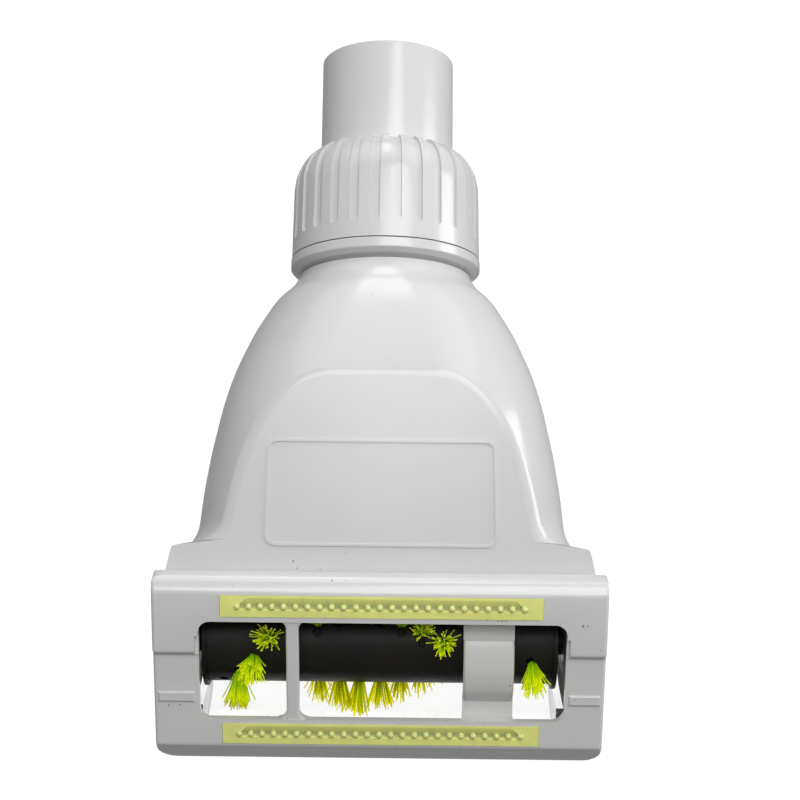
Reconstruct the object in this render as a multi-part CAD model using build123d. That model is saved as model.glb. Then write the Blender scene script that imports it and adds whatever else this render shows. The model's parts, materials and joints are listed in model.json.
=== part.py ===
from build123d import *

import math
import os

# Vacuum brush head: a bristle roller in the sole, driven by an air turbine over a belt.
# Drawn in the frame of the sole: X across, Y from the nose to the hose end, Z out of the sole.
# The rear land of the sole is Z = 0 and the nose is Y = 0. All sizes in millimetres.

# Gaps
FIT = 0.2                   # between fixed parts that slide into each other
RUN = 0.05                  # radial clearance of a shaft in a bearing
SWIVEL_RUN = 0.06           # radial clearance of the collar on the spigot
SWIVEL_END = 0.3            # end play of the swivel neck
BELT_GAP = 0.25             # belt to pulley

# Sole plate
HEAD_WIDTH = 137.0
SOLE_LENGTH = 61.0
SOLE_WALL = 2.2
RIM_NOSE = 14.0             # depth of the rim at the nose
RIM_REAR = 7.6              # depth of the rim at the rear wall
FRONT_DROP = 1.6            # the front land lies this much lower than the rear land
STEP_AT = 37.5
STEP_FOOT = 1.5             # roundings of the step between the lands
STEP_HEAD = 1.3
BEVEL_RUN = 7.2
BEVEL_DROP = 4.1
BEVEL_ROUND = 2.5
SIDE_ROUND = 1.0            # end edges of the face
REAR_ROUND = 4.5
NOSE_CORNER = 6.0
REAR_CORNER = 2.5
END_LAND = 13.0             # face beside each end of the window
LAND_EDGE = 1.1             # the rear land ends this much beside the window
LAND_EDGE_SHY = 4.6         # and this much before its rear edge
WINDOW_FRONT = 16.8
WINDOW_REAR = 48.2
WINDOW_CORNER = 3.5
BAR_AT = -26.3              # narrow bar across the window
BAR_WIDTH = 3.9
BAR_CORNER = 2.5
BAR_THICK = 2.6
BAR_ROUND = 0.7
GUARD_AT = 33.2             # belt guard, and with it the plane of the belt
GUARD_WIDTH = 15.5
GUARD_RADIUS = 20.5
GUARD_WALL = 2.0
GUARD_ROUND = 1.0
GUARD_LEDGE = 6.2
GUARD_REAR_ANGLE = 25.0
RIDGE_AT = 24.0             # glide ridge on the end lands
RIDGE_WIDTH = 4.0
RIDGE_RISE = 0.7
RIDGE_ROUND = 0.5
RIDGE_SHY = 1.3             # the ridge ends this much before the window and the end edge

# Lint strips
STRIP_LENGTH = 97.0
STRIP_WIDTH = 6.4
STRIP_SUNK = 1.5
STRIP_RISE = 0.3
REAR_STRIP_AT = 53.1
FRONT_STRIP_AT = 11.1
NUB_COUNT = 25
NUB_PITCH = 3.6
NUB_RADIUS = 0.95
NUB_RISE = 1.2
TROUGH_DEPTH = 0.9

# Brush roller
ROLLER_Y = 32.5
ROLLER_Z = -23.0
CORE_RADIUS = 13.5
CORE_END_GAP = 1.2          # from the core to the end walls of the cover
BRISTLE_RADIUS = 24.2       # from the axis to the bristle tips
TUFT_ROOT = 1.5
TUFT_TIP = 3.8
TUFT_SUNK = 4.0
TUFT_SIDES = 8
ROLLER_PULLEY = 10.5
AXLE_RADIUS = 2.5
CAP_RADIUS = 15.0
CAP_THICK = 1.2
LEFT_COUNT = 4              # tufts between the left end and the narrow bar
LEFT_SHY = 5.0              # from the core's end to the first tuft
BAR_SHY_LEFT = 8.3          # from the narrow bar to the tufts beside it
BAR_SHY_RIGHT = 7.0
MIDDLE_COUNT = 7            # tufts between the narrow bar and the belt guard
GUARD_SHY = 13.8            # from the belt guard to the tuft beside it
RIGHT_SHY = 7.2             # from the core's end to the tuft right of the belt guard
ROW_APEX = 82.0             # angle of a row at mid head, from straight out of the sole to the nose
ROW_STEP = 12.2             # turn of a row from tuft to tuft
ROW_END_STEP = 22.0         # the same in the end bays
ROW_PHASES = (0.0, -138.0, -249.0)

# Bearings, the same kind at the roller and the turbine
BEARING_RADIUS = 6.5
BEARING_WIDTH = 4.0
BLOCK_WIDTH = 20.0
AXLE_TAIL = 1.1             # the roller's axle stands out of its bearings this much

# Neck: the axis of the tube meets the lower edge of the collar here
NECK_REACH = 140.5
NECK_DROP = 83.7
NECK_TILT = 27.2
TUBE_RADIUS = 22.0
TUBE_BORE = 19.2
TUBE_START = 17.0
TUBE_END = 69.5
TUBE_STOP = 21.0
STOP_RADIUS = 17.2
TUBE_FLANGE = 26.0
FLANGE_THICK = 2.0
SEAL_BORE = 22.2
COLLAR_FOOT = 31.0
COLLAR_TOP = 30.7
COLLAR_STRAIGHT = 24.0      # height at which the dome starts
DOME_CENTRE = 20.0          # radius of the centre of the dome's ellipse
DOME_RISE = 15.4
DOME_END = 80.0             # degrees of the ellipse that are used
COLLAR_WALL = 2.8
FLUTE_COUNT = 28
FLUTE_WIDTH = 3.4
FLUTE_DEPTH = 0.9
FLUTE_START = 5.8
FLUTE_CORNER = 1.1
RING_RADIUS = 31.2
RING_HEIGHT = 3.2
RING_ROUND = 0.5
SPIGOT_RADIUS = 25.0
SPIGOT_BORE = 22.0
SPIGOT_FLANGE = 27.5
SPIGOT_TOP = 14.5
LIP_TOP = 12.0              # underside of the spigot's flange

# Bell
WALL = 2.4
NECK_START = 6.0            # distances along the axis from the collar's lower edge
SHOULDER_LEAD = 9.33        # from the shoulder to the sole's rear edge
FLARE_RADIUS = 8.0
FLARE_TURN = 60.0           # degrees that the flare turns outward
FLARE_STEPS = 7
FLARE_LAP = 0.5             # the bell runs into the head this much
BELL_OVER = 1.0             # the widest place lies this much beyond the shoulder
BELL_SHY = 7.3              # the bell is this much narrower than the head, at each side
NECK_RADIUS = 28.4
NECK_FLAT = 0.3             # half of the flats that the neck's section keeps
BELL_CORNER = 22.0
NEAR_CORNER = 40.0          # of the half that faces the sole side
SEAM_STEP = 1.0             # the upper half stands proud of the lower half
SEAM_ROUND = 0.9
CREASE_ROUND = 5.0          # edge of the flat wall
NEAR_DEPTH = 46.0
NEAR_RUN = 66.0
LABEL_TILT = 16.0           # of the flat wall behind the sole
LABEL_WIDTH = 70.5
LABEL_HEIGHT = 32.3
LABEL_AT = 23.8             # middle of the raised outline, from the rear wall of the sole
LABEL_CORNER = 3.3
LABEL_LINE = 0.8
LABEL_RISE = 0.4
HEAD_ROUND = 4.0            # end edges of the head
RIM_TOP = 4.2               # depth of the housing's rim under the sole plate
RIM_TOP_NOSE = 7.6

# Clear front cover
COVER_SIDE = 1.3            # the cover is this much wider than the window, at each side
COVER_INSET = 1.0           # the cheeks stand proud of it
COVER_WALL = 2.2
COVER_TOP = 8.5
COVER_LAP = 10.0
COVER_END_DEPTH = 13.0

# Turbine
TURBINE_AT = 58.0           # along the neck axis
TURBINE_RISE = 7.0          # from the neck axis to the sole side
WHEEL_RADIUS = 28.0
WHEEL_FROM = -23.0
WHEEL_TO = 12.0
WHEEL_DISC = 1.6
HUB_RADIUS = 7.0
BLADE_COUNT = 12
BLADE_THICK = 1.4
SHAFT_FROM = -31.0
SHAFT_TO = 39.5
TURBINE_PULLEY = 6.0
PULLEY_FLANGE = 9.0
PULLEY_LIP = 1.2
WALL_LEFT = -29.0
WALL_RIGHT = 15.0
WALL_THICK = 4.0
WALL_SPAN = (33.0, 9.0)     # from the collar, and from the shoulder
BELT_WIDTH = 8.0
BELT_THICK = 1.6
GROOVE_WIDTH = 10.0

# Air baffle
BAFFLE_LEAD = 6.5           # before the shoulder
BAFFLE_THICK = 2.4
NOZZLE = (-21.0, 10.0, -19.0, -6.0)
BELT_SLOT = (27.0, 39.4, -14.0, 24.0)

# Housing screws
NECK_SCREWS = (27.0, 17.5)  # to each side, and along the neck axis
BELL_SCREWS = (9.8, 14.0)   # in from the bell's side, and before the shoulder
SCREW_RADIUS = 1.6
SCREW_HEAD = 3.0
SCREW_HEAD_HEIGHT = 2.2
SCREW_SEAT = 6.0
SCREW_GRIP = 12.0
SCREW_HOLE_GAP = 0.1
BOSS_RADIUS = 4.2
CROSS_WIDTH = 0.9
CROSS_DEPTH = 1.2


def sin(angle):
    return math.sin(math.radians(angle))


def cos(angle):
    return math.cos(math.radians(angle))


def tan(angle):
    return math.tan(math.radians(angle))


# Sizes that follow from the ones above
WINDOW_WIDTH = HEAD_WIDTH - 2 * END_LAND
COVER_WIDTH = WINDOW_WIDTH + 2 * COVER_SIDE
CORE_LENGTH = COVER_WIDTH - 2 * COVER_WALL - 2 * CORE_END_GAP
HOUSING_HALF = HEAD_WIDTH / 2 - SOLE_WALL - FIT
BELL_HALF = HOUSING_HALF - BELL_SHY
CHEEK_RADIUS = ROLLER_Y - SOLE_WALL - FIT
TONGUE_Y = SOLE_LENGTH - SOLE_WALL - FIT
JOIN_DEPTH = RIM_REAR + (RIM_NOSE - RIM_REAR) * (SOLE_WALL + FIT) / SOLE_LENGTH + FIT / 2
COVER_RADIUS = CHEEK_RADIUS - COVER_INSET
BLOCK_FROM = COVER_WIDTH / 2 + 2 * FIT
BLOCK_TO = HOUSING_HALF - WALL - FIT
AXLE_HALF = BLOCK_FROM + BEARING_WIDTH + AXLE_TAIL
CAVITY_FIT = WALL + FIT
SHOULDER_AT = (
    (NECK_REACH - SOLE_LENGTH) * cos(NECK_TILT) + (NECK_DROP - JOIN_DEPTH) * sin(NECK_TILT) - SHOULDER_LEAD
)
FLARE_START = SHOULDER_AT - FLARE_RADIUS * sin(FLARE_TURN)
BAFFLE_AT = SHOULDER_AT - BAFFLE_LEAD
SCREWS = [
    (side * x, below)
    for x, below in (NECK_SCREWS, (BELL_HALF - BELL_SCREWS[0], SHOULDER_AT - BELL_SCREWS[1]))
    for side in (-1, 1)
]

NECK = Plane(
    origin=(0, NECK_REACH, -NECK_DROP),
    x_dir=(1, 0, 0),
    z_dir=(0, cos(NECK_TILT), -sin(NECK_TILT)),
)
LABEL = Plane(
    origin=(0, SOLE_LENGTH, -JOIN_DEPTH),
    x_dir=(1, 0, 0),
    z_dir=(0, sin(LABEL_TILT), cos(LABEL_TILT)),
)
PARTING = Plane(origin=NECK.origin, x_dir=(1, 0, 0), z_dir=NECK.y_dir)


def neck_point(below, rise):
    """Y and Z of a point below the collar along the axis and above the axis to the sole side."""
    return (
        NECK_REACH - below * cos(NECK_TILT) + rise * sin(NECK_TILT),
        -NECK_DROP + below * sin(NECK_TILT) + rise * cos(NECK_TILT),
    )


def neck_rise(y, z):
    """How far a point lies from the neck axis to the sole side."""
    return (y - NECK_REACH) * sin(NECK_TILT) + (z + NECK_DROP) * cos(NECK_TILT)


def across(outline, start, end):
    """A Y-Z outline as a solid from one X to another."""
    return Pos(start, 0, 0) * extrude(Plane.YZ * outline, amount=end - start)


def outline(*curves):
    """A face from curves that close."""
    return make_face([edge for curve in curves for edge in curve.edges()])


def turned(points):
    """A ring about the neck axis from radius and height points."""
    face = Plane.XZ * make_face(Polyline(*points, close=True))
    return revolve(face, Axis.Z)


def block(x_span, y_span, z_span):
    """A box from its limits."""
    return Pos(x_span[0], y_span[0], z_span[0]) * Box(
        x_span[1] - x_span[0],
        y_span[1] - y_span[0],
        z_span[1] - z_span[0],
        align=(Align.MIN, Align.MIN, Align.MIN),
    )


def shaft(radius, start, end, y, z):
    """A round bar along X."""
    bar = Cylinder(radius, end - start, align=(Align.CENTER, Align.CENTER, Align.MIN))
    return Pos(start, y, z) * Rot(0, 90, 0) * bar


TURBINE_Y, TURBINE_Z = neck_point(TURBINE_AT, TURBINE_RISE)


# Sole plate

def sole_side(inset, low_nose, low_rear):
    """Side outline of the sole plate, moved inward by the inset and open below."""
    slope = BEVEL_DROP / BEVEL_RUN
    slant = math.hypot(1, slope)
    bevel_low = -FRONT_DROP - BEVEL_DROP + inset * (slope - slant)
    bevel_top = (BEVEL_DROP - inset + inset * slant) / slope
    rear = SOLE_LENGTH - inset
    turn = SOLE_LENGTH - REAR_ROUND
    front = Polyline(
        (inset, low_nose),
        (inset, bevel_low),
        (bevel_top, -FRONT_DROP - inset),
        (STEP_AT + inset, -FRONT_DROP - inset),
        (STEP_AT + inset + FRONT_DROP / 2, -inset),
        (turn, -inset),
    )
    corner = CenterArc((turn, -REAR_ROUND), REAR_ROUND - inset, 0, 90)
    back = Polyline((rear, -REAR_ROUND), (rear, low_rear), (inset, low_nose))
    return outline(front, corner, back)


def rounded_window(start, end, corner):
    """A prism through the sole between two X limits, with round corners."""
    middle = (start + end) / 2
    height = WINDOW_REAR - WINDOW_FRONT
    face = RectangleRounded(end - start, height, corner)
    return Pos(middle, (WINDOW_REAR + WINDOW_FRONT) / 2, -30) * extrude(face, amount=60)


def strip_pocket(middle, face):
    """Room for a lint strip in the face of the sole."""
    half = STRIP_WIDTH / 2 + FIT / 2
    reach = STRIP_LENGTH / 2 + FIT / 2
    return block((-reach, reach), (middle - half, middle + half), (face - STRIP_SUNK, face + 5))


def sole_profile():
    """Side outline of the sole plate with its step and bevel rounded."""
    face = sole_side(0, -RIM_NOSE, -RIM_REAR)
    roundings = (
        (STEP_AT, -FRONT_DROP, STEP_FOOT),
        (STEP_AT + FRONT_DROP / 2, 0, STEP_HEAD),
        (BEVEL_RUN, -FRONT_DROP, BEVEL_ROUND),
    )
    for y, z, radius in roundings:
        face = fillet(face.vertices().sort_by_distance((y, z))[0], radius)
    return face


def belt_guard():
    """Bar over the belt: a ledge at each end and an arch about the roller between them."""
    ends = (GUARD_AT - GUARD_WIDTH / 2, GUARD_AT + GUARD_WIDTH / 2)
    low = GUARD_LEDGE + GUARD_WALL
    root = SOLE_WALL
    rear = ROLLER_Y + GUARD_RADIUS * sin(GUARD_REAR_ANGLE)
    span = make_face(Polyline(
        (WINDOW_FRONT, -low),
        (WINDOW_FRONT, 5),
        (rear, 5),
        (rear, ROLLER_Z + GUARD_RADIUS * cos(GUARD_REAR_ANGLE)),
        (rear + 0.4, -GUARD_LEDGE),
        (rear + 0.4, -low),
        close=True,
    ))
    ring = shaft(GUARD_RADIUS, *ends, ROLLER_Y, ROLLER_Z)
    ring = fillet(ring.edges().filter_by(GeomType.CIRCLE), GUARD_ROUND)
    guard = ring & across(span, *ends)
    guard += block(ends, (WINDOW_FRONT - root, WINDOW_REAR + root), (-low, -GUARD_LEDGE))
    guard += block(ends, (WINDOW_FRONT - root, WINDOW_FRONT), (-low, -FRONT_DROP - SOLE_WALL / 2))
    guard += block(ends, (WINDOW_REAR, WINDOW_REAR + root), (-low, -SOLE_WALL / 2))
    return guard - shaft(GUARD_RADIUS - GUARD_WALL, *ends, ROLLER_Y, ROLLER_Z)


def narrow_bar():
    """Thin bar across the window, with flared ends."""
    half = BAR_WIDTH / 2 + BAR_CORNER
    root = SOLE_WALL / 2
    side = make_face(Polyline(
        (WINDOW_FRONT - root, -FRONT_DROP - 0.3),
        (WINDOW_REAR + root, -0.4),
        (WINDOW_REAR + root, -0.4 - BAR_THICK),
        (WINDOW_FRONT - root, -FRONT_DROP - 0.3 - BAR_THICK),
        close=True,
    ))
    bar = across(side, BAR_AT - half, BAR_AT + half)
    bar -= rounded_window(-WINDOW_WIDTH / 2, BAR_AT - BAR_WIDTH / 2, BAR_CORNER)
    bar -= rounded_window(BAR_AT + BAR_WIDTH / 2, GUARD_AT, BAR_CORNER)
    top = bar.faces().sort_by(Axis.Z)[-1]
    return fillet([e for e in top.edges() if e.length > 2 * half], BAR_ROUND)


def sole_plate():
    """The plate that glides on the floor, with its window, bar and belt guard."""
    half = HEAD_WIDTH / 2
    plan = Pos(0, SOLE_LENGTH / 2) * Rectangle(HEAD_WIDTH, SOLE_LENGTH)
    plan = fillet(plan.vertices().group_by(Axis.Y)[0], NOSE_CORNER)
    plan = fillet(plan.vertices().group_by(Axis.Y)[-1], REAR_CORNER)
    plate = across(sole_profile(), -half, half)
    ends = plate.faces().sort_by(Axis.X)
    rims = [e for end in (ends[0], ends[-1]) for e in end.edges() if e.center().Z > -FRONT_DROP - BEVEL_DROP]
    plate = fillet(rims, SIDE_ROUND)
    plate &= Pos(0, 0, -40) * extrude(plan, amount=80)
    hollow = across(sole_side(SOLE_WALL, -RIM_NOSE - 9, -RIM_NOSE - 9), -half + SOLE_WALL, half - SOLE_WALL)
    plate -= hollow
    window = WINDOW_WIDTH / 2
    edge = WINDOW_REAR - LAND_EDGE_SHY
    for side in (-1, 1):
        over = sorted((side * window, side * (window + LAND_EDGE)))
        under = sorted((side * window, side * (window + LAND_EDGE + SOLE_WALL)))
        plate += block(under, (STEP_AT, edge + SOLE_WALL), (-FRONT_DROP - SOLE_WALL, -SOLE_WALL))
        plate -= block(over, (STEP_AT, edge), (-FRONT_DROP, SOLE_WALL))
    plate -= rounded_window(-window, window, WINDOW_CORNER)
    plate += narrow_bar()
    plate += belt_guard()
    ridge = Box(END_LAND - 2 * RIDGE_SHY, RIDGE_WIDTH, 2 * RIDGE_RISE)
    ridge = fillet(ridge.edges().group_by(Axis.Z)[-1], RIDGE_ROUND)
    for side in (-1, 1):
        plate += Pos(side * (half + window) / 2, RIDGE_AT, -FRONT_DROP) * ridge
    plate -= strip_pocket(REAR_STRIP_AT, 0)
    plate -= strip_pocket(FRONT_STRIP_AT, -FRONT_DROP)
    return plate


def lint_strip(middle, face):
    """Soft strip with a trough and a row of nubs."""
    half = STRIP_WIDTH / 2
    last = (NUB_COUNT - 1) * NUB_PITCH / 2
    strip = block(
        (-STRIP_LENGTH / 2, STRIP_LENGTH / 2), (-half, half), (-STRIP_SUNK, STRIP_RISE)
    )
    end = half * 0.8
    plan = make_face(Polyline(
        (-last, 0), (last, 0), (last - end, end), (end - last, end), close=True
    ))
    wedge = make_face(Polyline(
        (0, STRIP_RISE - TROUGH_DEPTH), (0, 5), (end, 5), (end, STRIP_RISE), close=True
    ))
    strip -= across(wedge, -last, last) & Pos(0, 0, -5) * extrude(plan, amount=15)
    low = STRIP_RISE - TROUGH_DEPTH - 0.2
    nub = Cone(
        NUB_RADIUS, NUB_RADIUS * 0.6, NUB_RISE - low, align=(Align.CENTER, Align.CENTER, Align.MIN)
    )
    strip += [Pos(-last + k * NUB_PITCH, 0, low) * nub for k in range(NUB_COUNT)]
    return Pos(0, middle, face) * strip


# Housing

def half_width(below):
    """Half of the bell's width without the flare: an ellipse."""
    widest = SHOULDER_AT + BELL_OVER
    stretch = (widest - NECK_START) / math.sqrt(1 - (NECK_RADIUS / BELL_HALF) ** 2)
    reach = max(0.0, widest - below) / stretch
    return BELL_HALF * math.sqrt(1 - reach ** 2)


def flare(below):
    """How far the shoulders stand out of that ellipse: an arc."""
    return FLARE_RADIUS - math.sqrt(FLARE_RADIUS ** 2 - max(0.0, below - FLARE_START) ** 2)


def far_line(inset):
    """Rise of the straight back wall, which runs tangent to the cheeks."""
    radius = CHEEK_RADIUS - inset
    return neck_rise(ROLLER_Y - radius * sin(NECK_TILT), ROLLER_Z - radius * cos(NECK_TILT))


def bell_section(below, inset, step):
    """A cross-section of the bell, square to the neck axis; the step narrows it."""
    along = min(1.0, (below - NECK_START) / (SHOULDER_AT - NECK_START))
    half = half_width(below) - inset - step * min(1.0, 3 * along)
    if not inset:
        half += flare(below)
    near = NECK_RADIUS - inset + (NEAR_DEPTH - NECK_RADIUS) * sin(
        90 * min(1.0, (below - NECK_START) / NEAR_RUN)
    )
    far_end = -far_line(0) - 0.4
    far = NECK_RADIUS - inset + (far_end - NECK_RADIUS) * along
    start = NECK_RADIUS - NECK_FLAT
    face = Pos(0, (far - near) / 2) * Rectangle(2 * half, near + far)
    face = fillet(face.vertices().group_by(Axis.Y)[0], start - inset + (NEAR_CORNER - start) * along)
    face = fillet(face.vertices().group_by(Axis.Y)[-1], start - inset + (BELL_CORNER - start) * along)
    return NECK * Pos(0, 0, -below) * face


def label_depth(y, inset):
    """Z of the flat wall behind the sole, or of a plane inside it."""
    return -JOIN_DEPTH - (y - SOLE_LENGTH) * tan(LABEL_TILT) - inset / cos(LABEL_TILT)


def head_side(inset):
    """Side outline of the head: nose, cheek arc, back wall and the step into the bell."""
    radius = CHEEK_RADIUS - inset
    nose = ROLLER_Y - radius
    arc = CenterArc((ROLLER_Y, ROLLER_Z), radius, 180, 90 - NECK_TILT)
    foot = (ROLLER_Y - radius * sin(NECK_TILT), ROLLER_Z - radius * cos(NECK_TILT))
    rear = SHOULDER_AT + inset
    back = [foot, neck_point(rear, far_line(inset)), neck_point(rear, 60)]
    if inset:
        top = [(TONGUE_Y - inset, 40), (nose, 40)]
    else:
        top = [
            (SOLE_LENGTH, 20),
            (SOLE_LENGTH, -JOIN_DEPTH),
            (TONGUE_Y, -JOIN_DEPTH),
            (TONGUE_Y, -RIM_TOP),
            (nose + 2 * BEVEL_DROP, -RIM_TOP),
            (nose, -RIM_TOP_NOSE),
        ]
    return outline(arc, Polyline(*back, *top, (nose, ROLLER_Z)))


def bell(inset, step):
    """The bell as a solid that reaches into the head."""
    start = NECK_START + inset
    places = [start + (FLARE_START - start) * k for k in (0.0, 0.1, 0.25, 0.45, 0.65, 0.82, 0.92)]
    if inset:
        places += [SHOULDER_AT, SHOULDER_AT + 8]
    else:
        run = SHOULDER_AT - FLARE_START
        places += [FLARE_START + run * k / FLARE_STEPS for k in range(FLARE_STEPS + 1)]
        places.append(SHOULDER_AT + FLARE_LAP)
    return loft([bell_section(place, inset, step) for place in places])


def body(inset, step=0.0):
    """The head and the bell as one solid, or the room inside when inset by the wall."""
    from_y = TONGUE_Y - inset if inset else SOLE_LENGTH
    above = across(make_face(Polyline(
        (from_y, label_depth(from_y, inset)),
        (from_y, 90),
        (280, 90),
        (280, label_depth(280, inset)),
        close=True,
    )), -90, 90)
    rear = bell(inset, step) - above
    head = across(head_side(inset), inset - HOUSING_HALF, HOUSING_HALF - inset)
    if not inset:
        flat = rear.faces().sort_by_distance(LABEL.from_local_coords((0, LABEL_AT, 0)))[0]
        crease = [e for e in flat.edges() if NECK.to_local_coords(e.center()).Z > -SHOULDER_AT]
        rear = fillet(crease, CREASE_ROUND)
        ends = head.faces().sort_by(Axis.X)
        edges = [e for face in (ends[0], ends[-1]) for e in face.edges() if e.center().Z < -RIM_NOSE]
        head = fillet(edges, HEAD_ROUND)
    return rear + (head - above)


def screw_axis(x, below):
    """Frame of a housing screw: on the parting plane, Z to the sole side."""
    y, z = neck_point(below, 0)
    return Plane(origin=(x, y, z), x_dir=(1, 0, 0), z_dir=-NECK.y_dir)


def bar_along(radius, low, high):
    """A round bar along Z between two heights."""
    return Pos(0, 0, low) * Cylinder(radius, high - low, align=(Align.CENTER, Align.CENTER, Align.MIN))


def spigot():
    """Tube on the bell that carries the collar."""
    low = -NECK_START - WALL
    return NECK * turned([
        (SPIGOT_BORE, low), (SPIGOT_RADIUS, low), (SPIGOT_RADIUS, LIP_TOP), (SPIGOT_FLANGE, LIP_TOP),
        (SPIGOT_FLANGE, SPIGOT_TOP), (SPIGOT_BORE, SPIGOT_TOP),
    ])


def cover_room():
    """The stretch of the head that the clear cover closes."""
    foot = (ROLLER_Y - CHEEK_RADIUS * sin(NECK_TILT), ROLLER_Z - CHEEK_RADIUS * cos(NECK_TILT))
    edge = (foot[0] + COVER_LAP * cos(NECK_TILT), foot[1] - COVER_LAP * sin(NECK_TILT))
    out = (-sin(NECK_TILT), -cos(NECK_TILT))
    face = make_face(Polyline(
        (-10, 20),
        (-10, -90),
        (edge[0] + 12 * out[0], edge[1] + 12 * out[1]),
        (edge[0] - 6 * out[0], edge[1] - 6 * out[1]),
        (ROLLER_Y - CORE_RADIUS, ROLLER_Z),
        (ROLLER_Y - CORE_RADIUS, 20),
        close=True,
    ))
    half = COVER_WIDTH / 2 + FIT
    return across(face, -half, half)


def label_outline():
    """Raised outline on the flat wall."""
    outer = RectangleRounded(LABEL_WIDTH, LABEL_HEIGHT, LABEL_CORNER)
    inner = RectangleRounded(
        LABEL_WIDTH - 2 * LABEL_LINE, LABEL_HEIGHT - 2 * LABEL_LINE, LABEL_CORNER - LABEL_LINE
    )
    return LABEL * Pos(0, LABEL_AT, -LABEL_RISE) * extrude(outer - inner, amount=2 * LABEL_RISE)


def housing_halves():
    """Lower and upper housing, parted on the plane of the neck axis."""
    stepped = body(0, SEAM_STEP)
    low_skin = split(stepped, bisect_by=PARTING, keep=Keep.BOTTOM)
    up_skin = split(body(0), bisect_by=PARTING, keep=Keep.TOP)
    joint = up_skin.faces().sort_by_distance((0, *neck_point(SHOULDER_AT / 2, 0)))[0]
    up_skin = fillet(joint.edges().filter_by(GeomType.BSPLINE), SEAM_ROUND)
    room = body(WALL) + NECK * bar_along(SPIGOT_BORE, -NECK_START - 2 * WALL, SPIGOT_TOP) + cover_room()
    lower = split(stepped - room, bisect_by=PARTING, keep=Keep.BOTTOM)
    lower += split(spigot(), bisect_by=PARTING, keep=Keep.BOTTOM)
    upper = up_skin - room + split(spigot(), bisect_by=PARTING, keep=Keep.TOP)
    for place in SCREWS:
        frame = screw_axis(*place)
        lower += frame * bar_along(BOSS_RADIUS, 0, 60) & low_skin
        upper += frame * bar_along(BOSS_RADIUS + 0.6, -60, 0) & up_skin
    for place in SCREWS:
        frame = screw_axis(*place)
        lower -= frame * bar_along(SCREW_RADIUS + RUN, -1, SCREW_GRIP + 1)
        upper -= frame * bar_along(SCREW_RADIUS + SCREW_HOLE_GAP, -SCREW_SEAT - 1, 1)
        upper -= frame * bar_along(SCREW_HEAD + FIT, -60, -SCREW_SEAT)
    lower += label_outline()
    return lower, upper


def housing_screws():
    """Four screws of one kind."""
    screw = bar_along(SCREW_RADIUS, -SCREW_SEAT, SCREW_GRIP)
    screw += bar_along(SCREW_HEAD, -SCREW_SEAT - SCREW_HEAD_HEIGHT, -SCREW_SEAT)
    for turn in (0, 90):
        slot = Box(2 * SCREW_HEAD * 0.6, CROSS_WIDTH, 2 * CROSS_DEPTH)
        screw -= Pos(0, 0, -SCREW_SEAT - SCREW_HEAD_HEIGHT) * Rot(0, 0, turn) * slot
    return Compound(children=[screw_axis(*place) * screw for place in SCREWS])


def cover_side(depth):
    """Side outline of the clear cover, or of its end walls when deeper."""
    inner = COVER_RADIUS - depth
    lap = COVER_LAP - FIT
    run = (cos(NECK_TILT), -sin(NECK_TILT))

    def foot(radius, along):
        return (
            ROLLER_Y - radius * sin(NECK_TILT) + along * run[0],
            ROLLER_Z - radius * cos(NECK_TILT) + along * run[1],
        )

    outer_arc = CenterArc((ROLLER_Y, ROLLER_Z), COVER_RADIUS, 180, 90 - NECK_TILT)
    inner_arc = CenterArc((ROLLER_Y, ROLLER_Z), inner, 180, 90 - NECK_TILT)
    rear = Polyline(foot(COVER_RADIUS, 0), foot(COVER_RADIUS, lap), foot(inner, lap), foot(inner, 0))
    front = Polyline(
        (ROLLER_Y - COVER_RADIUS, ROLLER_Z),
        (ROLLER_Y - COVER_RADIUS, -COVER_TOP),
        (ROLLER_Y - inner, -COVER_TOP),
        (ROLLER_Y - inner, ROLLER_Z),
    )
    return outline(outer_arc, rear, inner_arc, front)


def front_cover():
    """Clear shield around the nose side of the roller, with an end wall at each side."""
    half = COVER_WIDTH / 2
    cover = across(cover_side(COVER_WALL), -half, half)
    cover += across(cover_side(COVER_END_DEPTH), -half, -half + COVER_WALL)
    cover += across(cover_side(COVER_END_DEPTH), half - COVER_WALL, half)
    return cover


# Brush roller

def roller_block(side):
    """Block in the cheek that holds a roller bearing."""
    top = -FRONT_DROP - SOLE_WALL - FIT / 2
    face = Pos(ROLLER_Y, (top - 52) / 2) * Rectangle(BLOCK_WIDTH, top + 52)
    part = across(face & head_side(CAVITY_FIT), BLOCK_FROM, BLOCK_TO)
    part -= shaft(BEARING_RADIUS + RUN, BLOCK_FROM, BLOCK_FROM + BEARING_WIDTH, ROLLER_Y, ROLLER_Z)
    part -= shaft(AXLE_RADIUS + 1, BLOCK_FROM, AXLE_HALF + FIT, ROLLER_Y, ROLLER_Z)
    return part if side > 0 else mirror(part, Plane.YZ)


def bearing(start, y, z):
    """Plain ring for a shaft along X."""
    end = start + BEARING_WIDTH
    return shaft(BEARING_RADIUS, start, end, y, z) - shaft(AXLE_RADIUS + RUN, start, end, y, z)


def tuft_places():
    """X and angle of every tuft, row by row."""
    first = BAR_AT + BAR_SHY_RIGHT
    pitch = (GUARD_AT - GUARD_SHY - first) / (MIDDLE_COUNT - 1)
    row = [(first + k * pitch, ROW_APEX + ROW_STEP * abs(k - 2)) for k in range(MIDDLE_COUNT)]
    row.append((CORE_LENGTH / 2 - RIGHT_SHY, row[-1][1] + ROW_STEP))
    last = BAR_AT - BAR_SHY_LEFT
    pitch = (last + CORE_LENGTH / 2 - LEFT_SHY) / (LEFT_COUNT - 1)
    turn = row[0][1] + ROW_STEP
    row += [(last - k * pitch, turn + k * ROW_END_STEP) for k in range(LEFT_COUNT)]
    return [[(x, angle + phase) for x, angle in row] for phase in ROW_PHASES]


def on_roller(x, angle):
    """Frame on the roller's axis, Z out through a tuft."""
    return Pos(x, ROLLER_Y, ROLLER_Z) * Rot(angle, 0, 0)


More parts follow.
